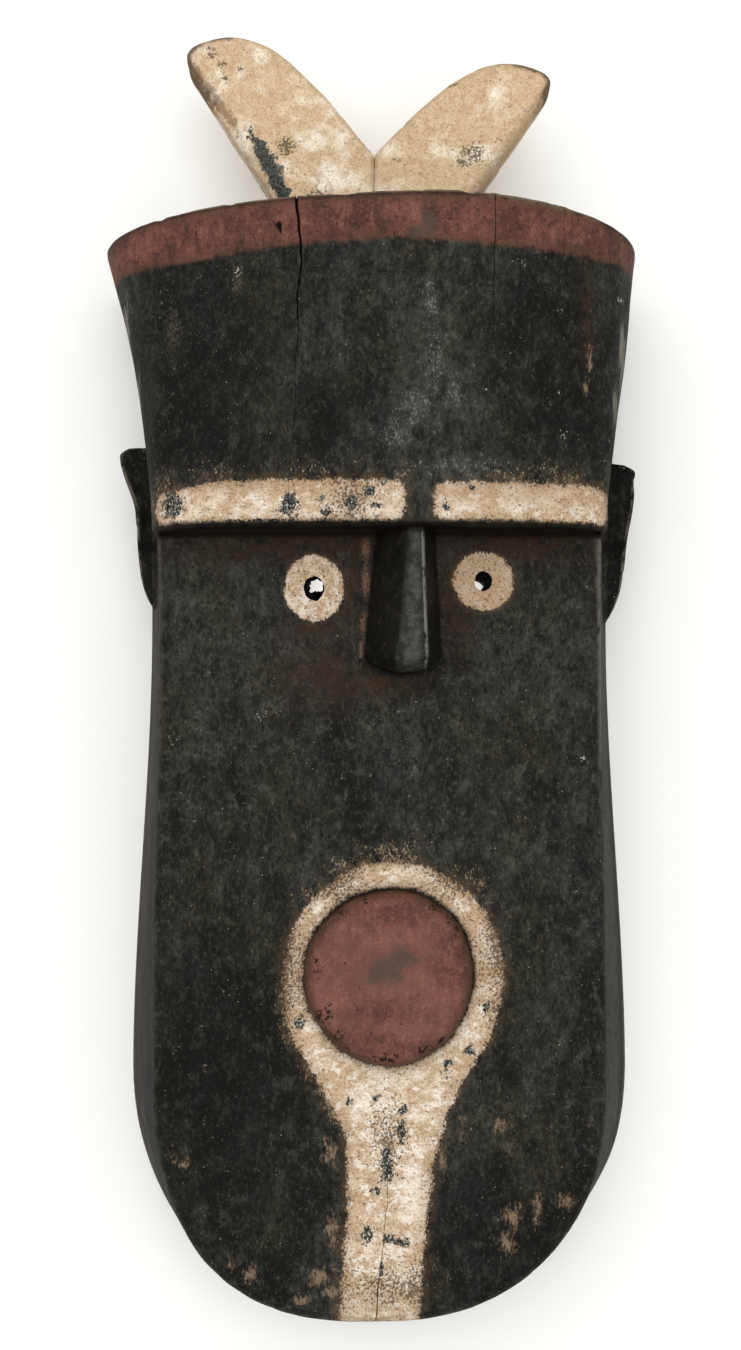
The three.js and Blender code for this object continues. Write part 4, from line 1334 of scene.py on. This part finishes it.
def bare_wood(box):
    grain = box.noise(1.6, 26, 31, 4, 0.6)
    wood = box.blend(grain, 0.36, 0.64, (50, 36, 26), (104, 80, 60))
    return box.over(wood, [(box.ramp(box.noise(14, 30, 32), 0.45, 0.65), 0.5, 74, 52, 36)])


def undercoat(box):
    """What shows where the cream has flaked off: dark, with specks of cream left in it."""
    specks = box.noise(1, 1.3, 41, 4, 0.75)
    under = box.blend(specks, 0.42, 0.58, (30, 32, 31), (84, 86, 81))
    return box.mix(box.ramp(specks, 0.57, 0.62), under, colour(220, 208, 188))


def nose_paint(box, paint, fine, mottle):
    """The nose is rubbed smooth, and painted with its light: painted shade on the dark flanks, a painted
    sheen on the greyer crest and a painted highlight as a thin light line down its right ridge.
    """
    # Painted shade on the flanks, a painted sheen on the crest.
    flank = box.over(colour(16, 15, 12), [(box.ramp(mottle, 0.5, 0.68), 0.4, 42, 40, 34)])
    crest = box.blend(mottle, 0.4, 0.62, (44, 44, 41), (70, 71, 68))
    crest = box.over(crest, [(box.ramp(fine, 0.54, 0.7), 0.35, 120, 120, 112)])
    on_crest = box.ragged(box.calc("SUBTRACT", "crest", 1.2), (mottle, 3), soft=2.6)
    # A painted highlight down the right ridge.
    ridge_highlight = box.times(box.ramp("ridge_highlight", 1, 0.2), box.ramp(mottle, 0.34, 0.5))
    rubbed = box.over(box.mix(on_crest, flank, crest), [(ridge_highlight, 0.6, 138, 140, 138)])
    paint = box.mix(box.times("nose", 0.9), paint, rubbed)
    streaks = box.plus("nose_streaks", 0.55, box.times(fine, 0.8))
    return box.over(paint, [(box.ramp(streaks, 0.64, 0.98), 0.7, 120, 92, 74)])


def side_walls(box, paint):
    """The sides: black below the front edge, with a dark line of painted shade in it, then fibres of worn
    wood.
    """
    fibres = box.noise(1.8, 46, 61, 4, 0.7)
    worn = box.blend(fibres, 0.4, 0.6, (28, 24, 20), (66, 57, 49))
    worn = box.over(worn, [(box.ramp(fibres, 0.58, 0.68), 0.5, 112, 102, 92)])
    paint = box.mix(box.times(box.ramp("wall", 18, 34), 0.8), paint, worn)
    # Painted shade: a dark line down the side below the front edge, where the front turns into the side.
    line = box.times(box.ramp("wall", 2.5, 4.5), box.ramp("wall", 26, 12))
    return box.over(paint, [(line, 0.85, 17, 15, 12)])


def wear_and_painted_shade(box, surface, mottle, coloured):
    """Rubbed edges, the bare hollow, painted shade in the corners, and painted shade in the cracks and holes.
    """
    edge = box.times(box.ramp("edge", 0.14, 0.4), box.ramp(mottle, 0.36, 0.56))
    edge = box.times(box.times(edge, box.ramp(coloured, 0.5, 0)), box.ramp("crack", 0.3, 0))
    surface = box.over(surface, [
        (edge, 0.5, 130, 122, 108),
        (box.times("rim_edge", box.ramp(mottle, 0.3, 0.55)), 0.7, 126, 104, 80),
        (box.times("face_edge", box.ramp(mottle, 0.3, 0.5)), 0.55, 120, 114, 104),
    ])
    hollow = box.ragged("hollow", (box.noise(16, 16, 53), 6), (mottle, 3), soft=1.5)
    surface = box.mix(hollow, surface, box.mix(0.35, bare_wood(box), colour(40, 32, 26)))
    return box.over(surface, [
        # Painted shade in the corners and creases.
        (box.times("grime", box.ramp(mottle, 0.2, 0.4)), 0.9, 15, 12, 9),
        ("rim_line", 0.55, 36, 26, 21),
        # Painted shade deep in the cracks.
        (box.ramp("crack", 0.86, 1), 1, 10, 8, 7),
        # Painted shade in the holes.
        (box.ramp("hole", 0.3, 0.7), 1, 5, 4, 3),
    ])


def feel(box, fine, mottle, light_paint, lost):
    """Roughness and fine relief: the light paint is thicker and duller, the nose is rubbed smoother."""
    roughness = box.plus(light_paint, 0.2, box.plus(mottle, 0.3, 0.5))
    roughness = box.either(box.plus("nose", -0.22, roughness), "hole")
    height = box.plus(box.noise(1, 12, 54, 3, 0.6), 0.5, box.times(fine, 0.6))
    height = box.plus(light_paint, 0.25, box.plus(mottle, 0.8, height))
    bump = box.add("ShaderNodeBump")
    box.feed(bump, "Strength", 0.55)
    box.feed(bump, "Distance", 0.5 * METRES)
    box.feed(bump, "Height", box.plus(lost, -0.35, height))
    box.feed(box.shader, "Normal", bump.outputs["Normal"])
    box.feed(box.shader, "Roughness", roughness)
    box.feed(box.shader, "Specular IOR Level", 0.08)


def mask_paint():
    """Black paint, red and cream areas over it, then losses, wear and painted shade."""
    material = bpy.data.materials.new("painted_wood")
    box = Paintbox(material)
    fine = box.noise(0.9, 1.2, 51, 3, 0.7)
    mottle = box.noise(4.2, 5.4, 52, 5, 0.66)
    red = box.ragged("red", (fine, 2.5), (mottle, 5), soft=1.5)
    cream = box.ragged("cream", (fine, 6), (mottle, 4), soft=0.7)
    horn = box.ramp("horn", 0, 1.2)
    light_paint = box.either(cream, horn)

    surface = side_walls(box, worn_black(box, black_paint(box, mottle), mottle))
    surface = nose_paint(box, surface, fine, mottle)
    bare = box.plus("bare", 0.3, box.plus(mottle, 0.3, box.noise(1.2, 3, 55, 4, 0.75)))
    surface = box.over(surface, [
        (box.ramp(bare, 0.77, 0.87), 0.75, 88, 74, 59),
        (box.ramp(bare, 0.88, 0.95), 0.6, 142, 122, 101),
    ])
    surface = box.mix(red, surface, red_paint(box, fine, mottle))
    dirty = box.times(box.ramp("cream", -5, 0), box.ramp(mottle, 0.34, 0.56))
    surface = box.over(surface, [(dirty, 0.5, 84, 68, 50)])
    surface = box.mix(cream, surface, cream_paint(box))
    flaked = box.plus("flaked", 0.35, box.noise(2, 2.3, 56, 5, 0.78))
    lost = box.times(box.ramp(flaked, 0.66, 0.69), cream)
    surface = box.mix(lost, surface, undercoat(box))
    surface = box.mix(horn, surface, horn_paint(box, fine, mottle))
    surface = wear_and_painted_shade(box, surface, mottle, box.either(box.either(red, cream), horn))
    box.feed(box.shader, "Base Color", surface)
    feel(box, fine, mottle, light_paint, lost)
    return material


def finish_mask():
    mask = carve_mask()
    chip_edges(mask.data)
    mask.data.shade_smooth()
    mask.data.set_sharp_from_angle(angle=math.radians(38))
    store_areas(mask.data)
    mask.data.materials.clear()
    mask.data.materials.append(mask_paint())
    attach(mask, "root")
    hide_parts("toma_mask")
    return mask


# What the mask is shown with

def add_floor():
    half = FLOOR_HALF_WIDTH
    corners = [(-half, -half, 0), (half, -half, 0), (half, half, 0), (-half, half, 0)]
    mesh = bpy.data.meshes.new("floor")
    mesh.from_pydata(corners, [], [(0, 1, 2, 3)])
    floor = add_object("floor", mesh)
    material = bpy.data.materials.new("pale_floor")
    material.use_nodes = True
    shader = material.node_tree.nodes["Principled BSDF"]
    shader.inputs["Base Color"].default_value = colour(252, 252, 249)
    shader.inputs["Roughness"].default_value = 0.9
    shader.inputs["Specular IOR Level"].default_value = 0.1
    mesh.materials.append(material)


def add_area_light(name, location, power):
    """A square lamp that looks at the middle of the mask."""
    data = bpy.data.lights.new(name, "AREA")
    data.shape = "SQUARE"
    data.size = AREA_LIGHT_SIZE
    data.energy = power
    light = add_object(name, data)
    light.location = location
    light.rotation_euler = (-Vector(location)).to_track_quat("-Z", "Y").to_euler()


def add_lights():
    add_area_light("key_light", (-0.4, 0.5, 1.6), 15)
    add_area_light("fill_light", (0.6, -0.3, 1.6), 9.6)
    # Inside the hollow, so that the eye holes read as open.
    data = bpy.data.lights.new("hollow_light", "POINT")
    data.energy = 0.14
    data.shadow_soft_size = 0.004
    add_object("hollow_light", data).location = (0.012, 0.02, 0.03)
    world = bpy.data.worlds.new("studio")
    bpy.context.scene.world = world
    world.use_nodes = True
    background = world.node_tree.nodes["Background"]
    background.inputs["Color"].default_value = (1, 1, 1, 1)
    background.inputs["Strength"].default_value = 0.615
    bpy.context.scene.view_settings.view_transform = "Standard"


def add_camera():
    """The camera looks down on the lying mask from 559 mm, leaning a little from straight down."""
    data = bpy.data.cameras.new("camera")
    data.sensor_width = CAMERA_SENSOR_WIDTH
    data.lens = CAMERA_LENS
    camera = add_object("camera", data)
    camera.location = CAMERA_PLACE
    camera.rotation_euler = (math.radians(CAMERA_LEAN), 0, 0)
    bpy.context.scene.camera = camera


finish_mask()
add_floor()
add_lights()
add_camera()
